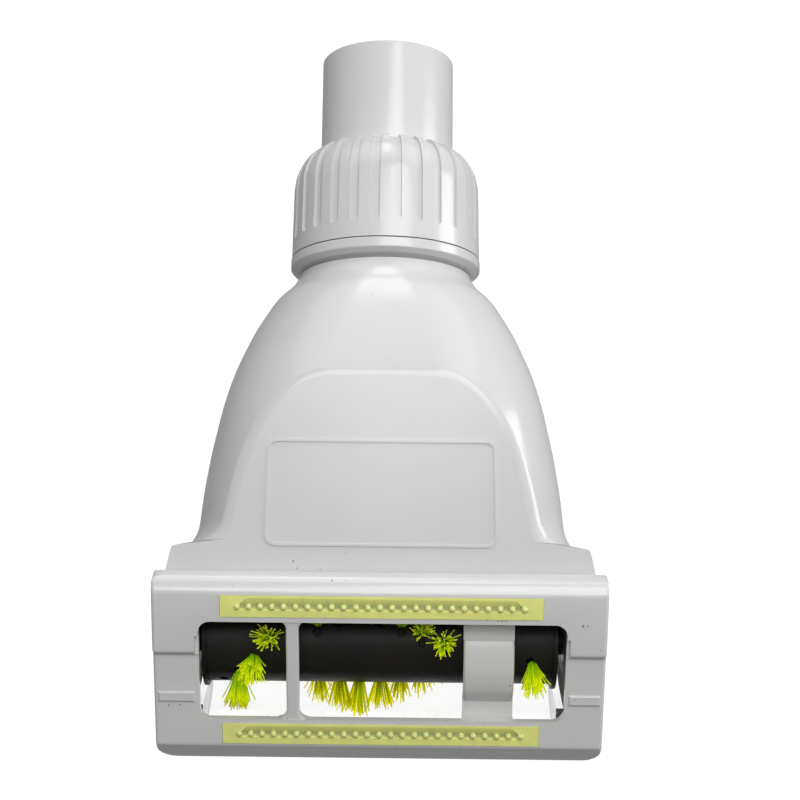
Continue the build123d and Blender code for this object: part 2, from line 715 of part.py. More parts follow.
def brush_core():
    """Roller body with the belt groove and the holes for the tufts."""
    half = CORE_LENGTH / 2
    core = shaft(CORE_RADIUS, -half, half, ROLLER_Y, ROLLER_Z)
    groove = GROOVE_WIDTH / 2
    ring = shaft(CORE_RADIUS + 1, GUARD_AT - groove, GUARD_AT + groove, ROLLER_Y, ROLLER_Z)
    core -= ring - shaft(ROLLER_PULLEY, GUARD_AT - groove, GUARD_AT + groove, ROLLER_Y, ROLLER_Z)
    core -= shaft(AXLE_RADIUS, -half, half, ROLLER_Y, ROLLER_Z)
    hole = extrude(RegularPolygon(TUFT_ROOT, TUFT_SIDES), amount=TUFT_SUNK + 2)
    hole = Pos(0, 0, CORE_RADIUS - TUFT_SUNK) * hole
    core -= [on_roller(*place) * hole for row in tuft_places() for place in row]
    return core


def tuft_row(row):
    """One row of bristle tufts, each flaring from its root to its tip."""
    root = extrude(RegularPolygon(TUFT_ROOT, TUFT_SIDES), amount=TUFT_SUNK)
    spread = loft([
        RegularPolygon(TUFT_ROOT, TUFT_SIDES),
        Pos(0, 0, BRISTLE_RADIUS - CORE_RADIUS) * RegularPolygon(TUFT_TIP, TUFT_SIDES),
    ])
    tuft = Pos(0, 0, CORE_RADIUS - TUFT_SUNK) * root + Pos(0, 0, CORE_RADIUS) * spread
    return Compound(children=[on_roller(*place) * tuft for place in row])


def end_cap(side):
    """Disc that closes an end of the roller and keeps threads off the bearing."""
    start = CORE_LENGTH / 2
    cap = shaft(CAP_RADIUS, start, start + CAP_THICK, ROLLER_Y, ROLLER_Z)
    cap += shaft(AXLE_RADIUS + 2, start, BLOCK_FROM - FIT, ROLLER_Y, ROLLER_Z)
    cap -= shaft(AXLE_RADIUS, start, BLOCK_TO, ROLLER_Y, ROLLER_Z)
    return cap if side > 0 else mirror(cap, Plane.YZ)


# Turbine

def turbine_wheel():
    """Wheel with curved blades between two discs."""
    middle = Pos(WHEEL_FROM, TURBINE_Y, TURBINE_Z)
    width = WHEEL_TO - WHEEL_FROM
    curve = ThreePointArc(
        (HUB_RADIUS - 0.6, 0),
        (0.6 * WHEEL_RADIUS * cos(5), 0.6 * WHEEL_RADIUS * sin(5)),
        ((WHEEL_RADIUS - 0.5) * cos(22), (WHEEL_RADIUS - 0.5) * sin(22)),
    )
    blade = extrude(Plane.YZ * trace(curve, BLADE_THICK), amount=width)
    wheel = shaft(HUB_RADIUS, 0, width, 0, 0)
    wheel += shaft(WHEEL_RADIUS, 0, WHEEL_DISC, 0, 0)
    wheel += shaft(WHEEL_RADIUS, width - WHEEL_DISC, width, 0, 0)
    wheel += [Rot(360 / BLADE_COUNT * k, 0, 0) * blade for k in range(BLADE_COUNT)]
    wheel -= shaft(AXLE_RADIUS, 0, width, 0, 0)
    return middle * wheel


def turbine_pulley():
    """Flanged pulley for the belt."""
    low = GUARD_AT - GROOVE_WIDTH / 2
    high = GUARD_AT + GROOVE_WIDTH / 2
    pulley = shaft(TURBINE_PULLEY, low, high, TURBINE_Y, TURBINE_Z)
    pulley += shaft(PULLEY_FLANGE, low - PULLEY_LIP, low, TURBINE_Y, TURBINE_Z)
    pulley += shaft(PULLEY_FLANGE, high, high + PULLEY_LIP, TURBINE_Y, TURBINE_Z)
    return pulley - shaft(AXLE_RADIUS, low - 5, high + 5, TURBINE_Y, TURBINE_Z)


def belt_loop(grow):
    """Face inside a loop around both pulleys, grown by an offset."""
    big = ROLLER_PULLEY + grow
    small = TURBINE_PULLEY + grow
    run_y = TURBINE_Y - ROLLER_Y
    run_z = TURBINE_Z - ROLLER_Z
    span = math.hypot(run_y, run_z)
    aim = math.degrees(math.atan2(run_z, run_y))
    lean = math.degrees(math.acos((big - small) / span))

    def at(centre, radius, angle):
        return (centre[0] + radius * cos(angle), centre[1] + radius * sin(angle))

    roller = (ROLLER_Y, ROLLER_Z)
    turbine = (TURBINE_Y, TURBINE_Z)
    big_arc = CenterArc(roller, big, aim + lean, 360 - 2 * lean)
    small_arc = CenterArc(turbine, small, aim - lean, 2 * lean)
    lower = Line(at(roller, big, aim - lean), at(turbine, small, aim - lean))
    upper = Line(at(turbine, small, aim + lean), at(roller, big, aim + lean))
    return outline(big_arc, lower, small_arc, upper)


def drive_belt():
    """Flat belt from the turbine to the roller."""
    half = BELT_WIDTH / 2
    outer = across(belt_loop(BELT_GAP + BELT_THICK), GUARD_AT - half, GUARD_AT + half)
    return outer - across(belt_loop(BELT_GAP), GUARD_AT - half, GUARD_AT + half)


def turbine_wall(room, start):
    """Wall across the bell that carries a turbine bearing."""
    end = start + WALL_THICK
    slab = NECK * block((start, end), (-90, 90), (WALL_SPAN[1] - SHOULDER_AT, -WALL_SPAN[0]))
    return (slab & room) - shaft(BEARING_RADIUS + RUN, start, end, TURBINE_Y, TURBINE_Z)


def air_baffle(room):
    """Wall between the brush chamber and the turbine, with the inlet slot and the belt slot."""
    low = -BAFFLE_AT - BAFFLE_THICK
    plate = NECK * block((-90, 90), (-90, 90), (low, -BAFFLE_AT)) & room
    for left, right, bottom, top in (NOZZLE, BELT_SLOT):
        plate -= NECK * block((left, right), (-top, -bottom), (low - 1, 1 - BAFFLE_AT))
    return plate


# Neck

def collar_side(inset):
    """Half outline of the collar about its axis: straight foot and domed top."""
    foot = COLLAR_FOOT - inset
    top = COLLAR_TOP - inset
    wide = COLLAR_TOP - DOME_CENTRE - inset
    tall = DOME_RISE - inset
    dome = [
        (DOME_CENTRE + wide * cos(a), COLLAR_STRAIGHT + tall * sin(a))
        for a in (0, 16, 32, 48, 64, DOME_END)
    ]
    low = SWIVEL_END
    return outline(
        Polyline((0, low), (foot, low), (top, COLLAR_STRAIGHT)),
        Spline(*dome, tangents=((0, 1), (-wide * sin(DOME_END), tall * cos(DOME_END)))),
        Polyline(dome[-1], (0, dome[-1][1]), (0, low)),
    )


def collar_solid(inset):
    return revolve(Plane.XZ * collar_side(inset), Axis.Z)


def swivel_collar():
    """Fluted collar that turns on the spigot and holds the tube."""
    collar = collar_solid(0)
    skin = collar - collar_solid(FLUTE_DEPTH)
    face = Pos(0, FLUTE_START + 25) * Rectangle(FLUTE_WIDTH, 50)
    face = fillet(face.vertices().group_by(Axis.Y)[0], FLUTE_CORNER)
    flute = extrude(Plane.XZ * face, amount=-2 * COLLAR_FOOT)
    step = 360 / FLUTE_COUNT
    flutes = [Rot(0, 0, step * (k + 0.5)) * flute for k in range(FLUTE_COUNT)]
    collar -= [skin & each for each in flutes]
    lip = LIP_TOP - SWIVEL_END
    collar -= bar_along(SPIGOT_RADIUS + SWIVEL_RUN, -1, lip)
    room = bar_along(COLLAR_FOOT - COLLAR_WALL, lip, COLLAR_STRAIGHT + DOME_RISE - 2 * COLLAR_WALL)
    collar -= collar_solid(COLLAR_WALL) & room
    collar -= bar_along(TUBE_RADIUS, lip, TUBE_END)
    return NECK * collar


def neck_tube():
    """Tube that takes the wand, with a stop inside and a flange on its inner end."""
    tube = turned([
        (STOP_RADIUS, TUBE_START),
        (TUBE_FLANGE, TUBE_START),
        (TUBE_FLANGE, TUBE_START + FLANGE_THICK),
        (TUBE_RADIUS, TUBE_START + FLANGE_THICK),
        (TUBE_RADIUS, TUBE_END),
        (TUBE_BORE, TUBE_END),
        (TUBE_BORE, TUBE_STOP),
        (STOP_RADIUS, TUBE_STOP),
    ])
    mouth = tube.edges().filter_by(GeomType.CIRCLE).group_by(Axis.Z)[-1]
    return NECK * fillet(mouth, 0.6)


def neck_seal():
    """Soft ring between the tube and the spigot."""
    low = SPIGOT_TOP + SWIVEL_END
    return NECK * turned([
        (SEAL_BORE, low), (TUBE_FLANGE, low), (TUBE_FLANGE, TUBE_START), (SEAL_BORE, TUBE_START)
    ])


def neck_ring():
    """Fixed ring that clamps the two housing halves at the neck."""
    bore = SPIGOT_RADIUS + FIT / 2
    low = -NECK_START + FIT / 2
    ring = turned([
        (bore, low), (bore, 0), (RING_RADIUS, 0), (RING_RADIUS, -RING_HEIGHT),
        (RING_RADIUS - 2.2, -RING_HEIGHT - 1.2),
    ])
    edges = ring.edges().filter_by(GeomType.CIRCLE)
    rim = [e for e in edges if abs(e.radius - RING_RADIUS) < 1e-6]
    return NECK * fillet(rim, RING_ROUND)


# Rest pose: on its back, on the cheeks and the fixed neck ring

def rest_tilt():
    """Angle of the line under the cheeks and the ring's lower edge."""
    y, z = neck_point(RING_HEIGHT - RING_ROUND, RING_ROUND - RING_RADIUS)
    span = math.hypot(y - ROLLER_Y, z - ROLLER_Z)
    aim = math.degrees(math.atan2(z - ROLLER_Z, y - ROLLER_Y))
    return -(aim + math.degrees(math.asin((CHEEK_RADIUS - RING_ROUND) / span)))


def main():
    lower, upper = housing_halves()
    room = body(CAVITY_FIT)
    rows = tuft_places()
    pieces = {
        "lower_housing": lower,
        "upper_housing": upper,
        "sole_plate": sole_plate(),
        "front_cover": front_cover(),
        "rear_lint_strip": lint_strip(REAR_STRIP_AT, 0),
        "front_lint_strip": lint_strip(FRONT_STRIP_AT, -FRONT_DROP),
        "neck_ring": neck_ring(),
        "housing_screws": housing_screws(),
        "roller_block_left": roller_block(-1),
        "roller_block_right": roller_block(1),
        "roller_bearing_left": bearing(-BLOCK_FROM - BEARING_WIDTH, ROLLER_Y, ROLLER_Z),
        "roller_bearing_right": bearing(BLOCK_FROM, ROLLER_Y, ROLLER_Z),
        "turbine_wall_left": turbine_wall(room, WALL_LEFT),
        "turbine_wall_right": turbine_wall(room, WALL_RIGHT),
        "turbine_bearing_left": bearing(WALL_LEFT, TURBINE_Y, TURBINE_Z),
        "turbine_bearing_right": bearing(WALL_RIGHT, TURBINE_Y, TURBINE_Z),
        "air_baffle": air_baffle(room),
        "drive_belt": drive_belt(),
        "brush_core": brush_core(),
        "bristle_row_1": tuft_row(rows[0]),
        "bristle_row_2": tuft_row(rows[1]),
        "bristle_row_3": tuft_row(rows[2]),
        "roller_axle": shaft(AXLE_RADIUS, -AXLE_HALF, AXLE_HALF, ROLLER_Y, ROLLER_Z),
        "roller_cap_left": end_cap(-1),
        "roller_cap_right": end_cap(1),
        "turbine_wheel": turbine_wheel(),
        "turbine_shaft": shaft(AXLE_RADIUS, SHAFT_FROM, SHAFT_TO, TURBINE_Y, TURBINE_Z),
        "turbine_pulley": turbine_pulley(),
        "swivel_collar": swivel_collar(),
        "neck_tube": neck_tube(),
        "neck_seal": neck_seal(),
    }
    laid = {name: Rot(rest_tilt(), 0, 0) * piece for name, piece in pieces.items()}
    boxes = [piece.bounding_box() for piece in laid.values()]
    front = min(box.min.Y for box in boxes)
    back = max(box.max.Y for box in boxes)
    floor = min(box.min.Z for box in boxes)
    os.makedirs("parts", exist_ok=True)
    for name, piece in laid.items():
        export_step(Pos(0, -(front + back) / 2, -floor) * piece, f"parts/{name}.step")


main()
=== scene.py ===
"""Dresses the vacuum brush head: finishes for its solids, bristles, nub strips, a studio and a camera."""

import json
import logging
import math
from dataclasses import dataclass
from enum import Enum
from typing import Any, Iterable, Sequence

import bmesh
import bpy
import numpy as np
from mathutils import Matrix, Vector


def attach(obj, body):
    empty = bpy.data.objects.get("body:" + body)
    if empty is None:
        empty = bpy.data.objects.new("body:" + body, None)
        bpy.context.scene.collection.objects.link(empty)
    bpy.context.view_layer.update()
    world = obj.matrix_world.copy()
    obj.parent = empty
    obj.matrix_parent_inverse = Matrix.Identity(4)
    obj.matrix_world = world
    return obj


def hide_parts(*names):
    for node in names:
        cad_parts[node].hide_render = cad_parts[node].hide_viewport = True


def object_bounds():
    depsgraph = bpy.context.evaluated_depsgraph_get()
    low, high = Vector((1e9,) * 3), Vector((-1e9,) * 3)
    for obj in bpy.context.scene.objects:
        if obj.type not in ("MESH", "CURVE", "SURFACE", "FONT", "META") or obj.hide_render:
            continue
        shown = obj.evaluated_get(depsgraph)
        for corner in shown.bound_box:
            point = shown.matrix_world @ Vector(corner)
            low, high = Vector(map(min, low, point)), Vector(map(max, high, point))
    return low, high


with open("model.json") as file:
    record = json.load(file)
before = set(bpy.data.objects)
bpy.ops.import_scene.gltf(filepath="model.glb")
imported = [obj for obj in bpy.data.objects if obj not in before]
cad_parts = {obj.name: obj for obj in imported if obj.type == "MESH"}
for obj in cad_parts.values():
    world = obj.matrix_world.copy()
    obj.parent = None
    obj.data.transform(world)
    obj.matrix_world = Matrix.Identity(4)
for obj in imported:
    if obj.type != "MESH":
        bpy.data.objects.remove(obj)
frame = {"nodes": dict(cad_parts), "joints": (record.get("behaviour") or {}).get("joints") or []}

logging.basicConfig(level=logging.INFO, format="%(name)s: %(message)s")
log = logging.getLogger("brush_head")

CAD_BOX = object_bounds()
MM = 0.001
UNIT = (0.0, 1.0)
NOISE_SPAN = (0.3, 0.7)
MERGE_DISTANCE = 1e-7
SEED_STEP = 10
Pair = tuple[float, float]
Triple = tuple[float, float, float]
Table = tuple[Pair, ...]
Socket = bpy.types.NodeSocket


class Body(Enum):
    """The bodies that pieces ride on."""

    HOUSING = "housing"
    BRUSH = "brush"
    NECK = "swivel_neck"


class Slot(Enum):
    """The material slots of the record."""

    GREY = "grey_plastic"
    CLEAR = "clear_plastic"
    STRIP = "strip_rubber"
    BLACK = "black_plastic"
    BRISTLE = "bristle"
    STEEL = "steel"
    BELT = "belt_rubber"
    INNER = "inner_plastic"
    WHEEL = "wheel_plastic"
    FELT = "seal_felt"


class Draw(Enum):
    """What a random number is for, as a step from the seed of its tree."""

    RADIUS = 1
    TURN = 2
    WILD = 3
    LENGTH = 4
    STRAY = 5
    TONE = 6
    SHEER = 7


def joint(name: str) -> dict[str, Any]:
    """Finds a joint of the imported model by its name."""
    return next(entry for entry in frame["joints"] if entry["name"] == name)


def clamp(value: float) -> float:
    """Keeps a value between 0 and 1."""
    return min(1.0, max(0.0, value))


def read(table: Table, values: np.ndarray) -> np.ndarray:
    """Reads values off a table of pairs, straight from one pair to the next."""
    return np.interp(values, *zip(*table))


@dataclass(frozen=True)
class SoleFrame:
    """The sole's own frame in millimetres: X across, Y from the nose to the tube, Z out of the sole."""

    roller_y: float = 32.5
    roller_z: float = -23.0
    neck_tilt: float = 27.2
    neck_y: float = 140.5
    neck_z: float = -83.7
    face_tilt: float = 16.0

    def to_row(self) -> Matrix:
        """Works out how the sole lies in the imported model.

        Returns:
            The matrix from millimetres in the sole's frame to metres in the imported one.
        """
        axis = joint("neck_swivel")["axis"]
        tilt = math.atan2(axis[2], axis[1]) + math.radians(self.neck_tilt)
        turn = Matrix.Rotation(tilt, 4, "X") @ Matrix.Scale(MM, 4)
        roller = Vector(joint("brush_spin")["pos_m"])
        return Matrix.Translation(roller - turn @ Vector((0, self.roller_y, self.roller_z))) @ turn

    def rise(self, y: np.ndarray, z: np.ndarray) -> np.ndarray:
        """Says how far points lie beyond the swivel joint, along the axis of the tube."""
        tilt = math.radians(self.neck_tilt)
        return (y - self.neck_y) * math.cos(tilt) - (z - self.neck_z) * math.sin(tilt)


SOLE = SoleFrame()


# Node trees

@dataclass(frozen=True)
class Noise:
    """A noise: its features per metre, its octaves and the weight of the finer ones."""

    scale: float
    octaves: float = 2.0
    weight: float = 0.5


class Wiring:
    """Adds nodes to a tree and joins them."""

    def __init__(self, tree: bpy.types.NodeTree) -> None:
        """Keeps the tree to fill and clears it."""
        self.tree = tree
        tree.nodes.clear()

    def add(self, kind: str, inputs: dict[Any, Any] | None = None, **settings: Any) -> bpy.types.Node:
        """Adds a node.

        Args:
            kind: the node's type name.
            inputs: values or sockets for its inputs, by name or place.
            settings: attributes of the node itself.

        Returns:
            The node.
        """
        node = self.tree.nodes.new(kind)
        for name, value in settings.items():
            setattr(node, name, value)
        for key, value in (inputs or {}).items():
            if isinstance(value, Socket):
                self.tree.links.new(value, node.inputs[key])
            else:
                node.inputs[key].default_value = value
        return node

    def out(self, kind: str, inputs: dict[Any, Any] | None = None, **settings: Any) -> Socket:
        """Adds a node as add does, and gives its first output."""
        return self.add(kind, inputs, **settings).outputs[0]

    def math(self, operation: str, *values: Any) -> Socket:
        """Adds a Math node on numbers or sockets."""
        return self.out("ShaderNodeMath", dict(enumerate(values)), operation=operation)

    def vector(self, operation: str, *values: Any, scale: Any = None) -> Socket:
        """Adds a Vector Math node.

        Args:
            operation: its operation.
            values: vectors or sockets.
            scale: the factor of a SCALE operation.

        Returns:
            Its result, a number for DISTANCE and DOT_PRODUCT.
        """
        inputs: dict[Any, Any] = dict(enumerate(values))
        if scale is not None:
            inputs["Scale"] = scale
        node = self.add("ShaderNodeVectorMath", inputs, operation=operation)
        return node.outputs["Value" if operation in ("DISTANCE", "DOT_PRODUCT") else "Vector"]

    def xyz(self, x: Any = 0.0, y: Any = 0.0, z: Any = 0.0) -> Socket:
        """Joins three numbers or sockets to a vector."""
        return self.out("ShaderNodeCombineXYZ", {0: x, 1: y, 2: z})

    def grey(self, shade: Socket) -> Socket:
        """Turns a number into a grey."""
        return self.out("ShaderNodeCombineColor", {0: shade, 1: shade, 2: shade})

    def remap(self, value: Any, span: Sequence[float], target: Sequence[float]) -> Socket:
        """Maps a value from one span to another, clamped."""
        inputs = {"Value": value, 1: span[0], 2: span[1], 3: target[0], 4: target[1]}
        return self.add("ShaderNodeMapRange", inputs).outputs["Result"]

    def blend(self, factor: Any, first: Any, second: Any, mode: str = "MIX") -> Socket:
        """Mixes two colours.

        Args:
            factor: share of the second.
            first: colour or socket.
            second: colour or socket.
            mode: the blend mode.

        Returns:
            The mixed colour.
        """
        paint = [value if isinstance(value, Socket) else (*value, 1.0) for value in (first, second)]
        inputs = {0: factor, 6: paint[0], 7: paint[1]}
        return self.add("ShaderNodeMix", inputs, data_type="RGBA", blend_type=mode).outputs[2]

    def noise(self, where: Socket, kind: Noise) -> Socket:
        """Adds a noise of about 0 to 1."""
        inputs = {"Vector": where, "Scale": kind.scale, "Detail": kind.octaves, "Roughness": kind.weight}
        return self.add("ShaderNodeTexNoise", inputs).outputs["Fac"]

    def bump(self, height: Socket, strength: float, depth: float) -> Socket:
        """Turns a height into a normal, with the depth in metres."""
        return self.out("ShaderNodeBump", {"Strength": strength, "Distance": depth, "Height": height})

    def attribute(self, name: str) -> Socket:
        """Reads a number that is stored on the mesh."""
        return self.add("ShaderNodeAttribute", attribute_name=name).outputs["Fac"]


# Finishes

@dataclass(frozen=True)
class Spot:
    """A mark of dirt or wear at one place: sole-frame millimetres and a radius."""

    place: Triple
    radius: float


@dataclass(frozen=True)
class Finish:
    """A procedural material with a name and the record slot it stands for."""

    name: str
    slot: Slot

    def material(self) -> bpy.types.Material:
        """Makes the material once.

        Returns:
            The material.
        """
        made = bpy.data.materials.get(self.name)
        if made is None:
            made = bpy.data.materials.new(self.name)
            made.use_nodes = True
            wires = Wiring(made.node_tree)
            where = wires.add("ShaderNodeTexCoord").outputs["Object"]
            wires.add("ShaderNodeOutputMaterial", {"Surface": self.surface(wires, where)})
        return made

    def surface(self, wires: Wiring, where: Socket) -> Socket:
        """Builds the shader in a material's tree, on Object coordinates."""
        raise NotImplementedError


@dataclass(frozen=True)
class MouldedPlastic(Finish):
    """Hard moulded plastic: slightly mottled, with fine grain, specks and marks of dirt."""

    colour: Triple = (0.5, 0.5, 0.5)
    mottle: float = 0.04
    mottle_noise: Noise = Noise(55.0, 4.0, 0.6)
    roughness: Pair = (0.16, 0.20)
    smudge_noise: Noise = Noise(130.0, 5.0, 0.65)
    grain: float = 0.05
    grain_noise: Noise = Noise(1500.0)
    grain_depth: float = 0.12 * MM
    ior: float = 1.5
    specular: float = 0.5
    specks: float = 0.0
    speck_colour: Triple = (0.1, 0.09, 0.08)
    speck_scale: float = 260.0
    speck_edge: Pair = (0.045, 0.075)
    speck_strength: Pair = (0.25, 0.9)
    spots: tuple[Spot, ...] = ()
    dirt_colour: Triple = (0.08, 0.07, 0.06)
    dirt_strength: float = 0.9
    dirt_core: float = 0.75
    ragged_noise: Noise = Noise(1800.0, 3.0)
    ragged_depth: float = 1.1 * MM

    def specked(self, wires: Wiring, where: Socket, colour: Socket) -> Socket:
        """Scatters small specks over a colour.

        Args:
            wires: the material's tree.
            where: Object coordinates.
            colour: the colour without specks.

        Returns:
            The colour with them.
        """
        cells = wires.add("ShaderNodeTexVoronoi", {"Vector": where, "Scale": self.speck_scale})
        parts = wires.add("ShaderNodeSeparateColor", {0: cells.outputs["Color"]})
        dot = wires.remap(cells.outputs["Distance"], self.speck_edge, (1.0, 0.0))
        picked = wires.math("LESS_THAN", parts.outputs[0], self.specks)
        faint = wires.remap(parts.outputs[1], UNIT, self.speck_strength)
        dot = wires.math("MULTIPLY", wires.math("MULTIPLY", dot, picked), faint)
        return wires.blend(dot, colour, self.speck_colour)

    def marked(self, wires: Wiring, where: Socket, colour: Socket) -> Socket:
        """Puts the marks at their places on a colour, each with a ragged edge.

        Args:
            wires: the material's tree.
            where: Object coordinates.
            colour: the colour without marks.

        Returns:
            The colour with them.
        """
        ragged = wires.math("MULTIPLY", wires.noise(where, self.ragged_noise), self.ragged_depth)
        to_row = SOLE.to_row()
        mask: Any = 0.0
        for spot in self.spots:
            away = wires.vector("DISTANCE", where, tuple(to_row @ Vector(spot.place)))
            edge = spot.radius * MM + self.ragged_depth / 2
            each = wires.remap(wires.math("ADD", away, ragged), (edge * self.dirt_core, edge), (1.0, 0.0))
            mask = wires.math("MAXIMUM", mask, each)
        return wires.blend(wires.math("MULTIPLY", mask, self.dirt_strength), colour, self.dirt_colour)

    def surface(self, wires: Wiring, where: Socket) -> Socket:
        """Builds the plastic shader.

        Args:
            wires: the material's tree.
            where: Object coordinates.

        Returns:
            The shader socket.
        """
        cloud = wires.noise(where, self.mottle_noise)
        shade = wires.remap(cloud, NOISE_SPAN, (1.0 - self.mottle, 1.0 + self.mottle))
        colour = wires.blend(1.0, self.colour, wires.grey(shade), "MULTIPLY")
        if self.specks:
            colour = self.specked(wires, where, colour)
        if self.spots:
            colour = self.marked(wires, where, colour)
        smudge = wires.noise(where, self.smudge_noise)
        return wires.out("ShaderNodeBsdfPrincipled", {
            "Base Color": colour,
            "Roughness": wires.remap(smudge, NOISE_SPAN, self.roughness),
            "Normal": wires.bump(wires.noise(where, self.grain_noise), self.grain, self.grain_depth),
            "IOR": self.ior,
            "Specular IOR Level": self.specular,
        })


@dataclass(frozen=True)
class ClearPlastic(Finish):
    """Clear polished plastic with faint smudges."""

    tint: Triple = (0.995, 0.998, 0.998)
    ior: float = 1.45
    smudge_noise: Noise = Noise(90.0, 5.0, 0.6)
    smudge_span: Pair = (0.45, 0.75)
    roughness: Pair = (0.015, 0.07)

    def surface(self, wires: Wiring, where: Socket) -> Socket:
        """Builds the clear shader.

        Args:
            wires: the material's tree.
            where: Object coordinates.

        Returns:
            The shader socket.
        """
        smudge = wires.noise(where, self.smudge_noise)
        return wires.out("ShaderNodeBsdfPrincipled", {
            "Base Color": (*self.tint, 1.0),
            "Roughness": wires.remap(smudge, self.smudge_span, self.roughness),
            "IOR": self.ior,
            "Transmission Weight": 1.0,
        })


@dataclass(frozen=True)
class SoftStrip(Finish):
    """Soft rubber that lets a little light in, with random stains and shade painted darker where its trough is
    deep.
    """

    colour: Triple = (0.84, 0.87, 0.26)
    # This colour serves both the random stains and the painted shade in the trough.
    stain_and_shade_colour: Triple = (0.39, 0.41, 0.20)
    trough_shade_strength: float = 0.85
    nub_colour: Triple = (0.68, 0.71, 0.28)
    cloud_noise: Noise = Noise(160.0, 4.0, 0.6)
    stain: float = 0.22
    roughness: Pair = (0.38, 0.55)
    grain: float = 0.08
    grain_noise: Noise = Noise(2600.0)
    grain_depth: float = 0.1 * MM
    soft_share: float = 0.25
    soft_depth: float = 1.5 * MM

    def surface(self, wires: Wiring, where: Socket) -> Socket:
        """Builds the rubber shader.

        Args:
            wires: the material's tree.
            where: Object coordinates.

        Returns:
            The shader socket.
        """
        cloud = wires.noise(where, self.cloud_noise)
        stained = wires.remap(cloud, NOISE_SPAN, (0.0, self.stain))
        # Painted shade: the trough's depth share, scalloped between the nubs, darkens the rubber where the
        # trough is deep.
        trough_shade = wires.math("MULTIPLY", wires.attribute("trough_shade"), self.trough_shade_strength)
        colour = wires.blend(stained, self.colour, self.stain_and_shade_colour)
        colour = wires.blend(trough_shade, colour, self.stain_and_shade_colour)
        colour = wires.blend(wires.attribute("nub"), colour, self.nub_colour)
        return wires.out("ShaderNodeBsdfPrincipled", {
            "Base Color": colour,
            "Roughness": wires.remap(cloud, NOISE_SPAN, self.roughness),
            "Normal": wires.bump(wires.noise(where, self.grain_noise), self.grain, self.grain_depth),
            "Subsurface Weight": self.soft_share,
            "Subsurface Scale": self.soft_depth,
        })


@dataclass(frozen=True)
class Filament(Finish):
    """Soft coloured filament that glows where light comes through it, painted darker at the root as shade and
    paler towards the tip as a painted glow.
    """

    # The root colour is painted shade; the tip colour is a painted backlit glow that also serves the random
    # tone.
    root_shade_colour: Triple = (0.22, 0.76, 0.006)
    root_shade_end: float = 0.45
    colour: Triple = (0.55, 0.97, 0.008)
    tone_and_tip_glow_colour: Triple = (0.86, 0.99, 0.015)
    tip_glow_start: float = 0.55
    tone_share: float = 0.35
    roughness: float = 0.42
    glow: Triple = (0.99, 0.95, 0.05)
    within: float = 0.35
    shadow_share: float = 0.85

    def surface(self, wires: Wiring, where: Socket) -> Socket:
        """Builds the filament shader.

        Args:
            wires: the material's tree.
            where: Object coordinates; not used.

        Returns:
            The shader socket.
        """
        along, tone, sheer = (wires.attribute(name) for name in ("along", "tone", "sheer"))
        # Painted shade darkens the root and a painted glow lightens the tip; each filament also shifts at
        # random towards the tip colour.
        colour = wires.blend(wires.remap(along, (0.0, self.root_shade_end), UNIT), self.root_shade_colour, self.colour)
        colour = wires.blend(wires.remap(along, (self.tip_glow_start, 1.0), UNIT), colour, self.tone_and_tip_glow_colour)
        colour = wires.blend(wires.remap(tone, UNIT, (0.0, self.tone_share)), colour, self.tone_and_tip_glow_colour)
        glow = {"Color": (*self.glow, 1.0)}
        solid = wires.out("ShaderNodeBsdfPrincipled", {"Base Color": colour, "Roughness": self.roughness})
        light = wires.out("ShaderNodeBsdfTranslucent", glow)
        solid = wires.out("ShaderNodeMixShader", {0: self.within, 1: solid, 2: light})
        clear = wires.out("ShaderNodeBsdfTransparent", glow)
        shadow = wires.add("ShaderNodeLightPath").outputs["Is Shadow Ray"]
        share = wires.math("MAXIMUM", sheer, wires.math("MULTIPLY", shadow, self.shadow_share))
        return wires.out("ShaderNodeMixShader", {0: share, 1: solid, 2: clear})


@dataclass(frozen=True)
class GroundSteel(Finish):
    """Ground steel with fine turning lines."""

    line_scales: Triple = (9000.0, 300.0, 300.0)
    line_noise: Noise = Noise(1.0)
    shades: Pair = (0.5, 0.62)
    roughness: Pair = (0.22, 0.4)

    def surface(self, wires: Wiring, where: Socket) -> Socket:
        """Builds the steel shader.

        Args:
            wires: the material's tree.
            where: Object coordinates.

        Returns:
            The shader socket.
        """
        lines = wires.noise(wires.vector("MULTIPLY", where, self.line_scales), self.line_noise)
        return wires.out("ShaderNodeBsdfPrincipled", {
            "Base Color": wires.grey(wires.remap(lines, NOISE_SPAN, self.shades)),
            "Roughness": wires.remap(lines, NOISE_SPAN, self.roughness),
            "Metallic": 1.0,
        })


@dataclass(frozen=True)
class Felt(Finish):
    """Pressed grey felt."""

    dark: Triple = (0.06, 0.06, 0.06)
    pale: Triple = (0.15, 0.15, 0.15)
    hair_noise: Noise = Noise(3500.0, 5.0, 0.7)
    relief: float = 0.5
    relief_depth: float = 0.3 * MM
    roughness: float = 0.95
    sheen: float = 0.3

    def surface(self, wires: Wiring, where: Socket) -> Socket:
        """Builds the felt shader.

        Args:
            wires: the material's tree.
            where: Object coordinates.

        Returns:
            The shader socket.
        """
        hair = wires.noise(where, self.hair_noise)
        return wires.out("ShaderNodeBsdfPrincipled", {
            "Base Color": wires.blend(hair, self.dark, self.pale),
            "Roughness": self.roughness,
            "Normal": wires.bump(hair, self.relief, self.relief_depth),
            "Sheen Weight": self.sheen,
        })


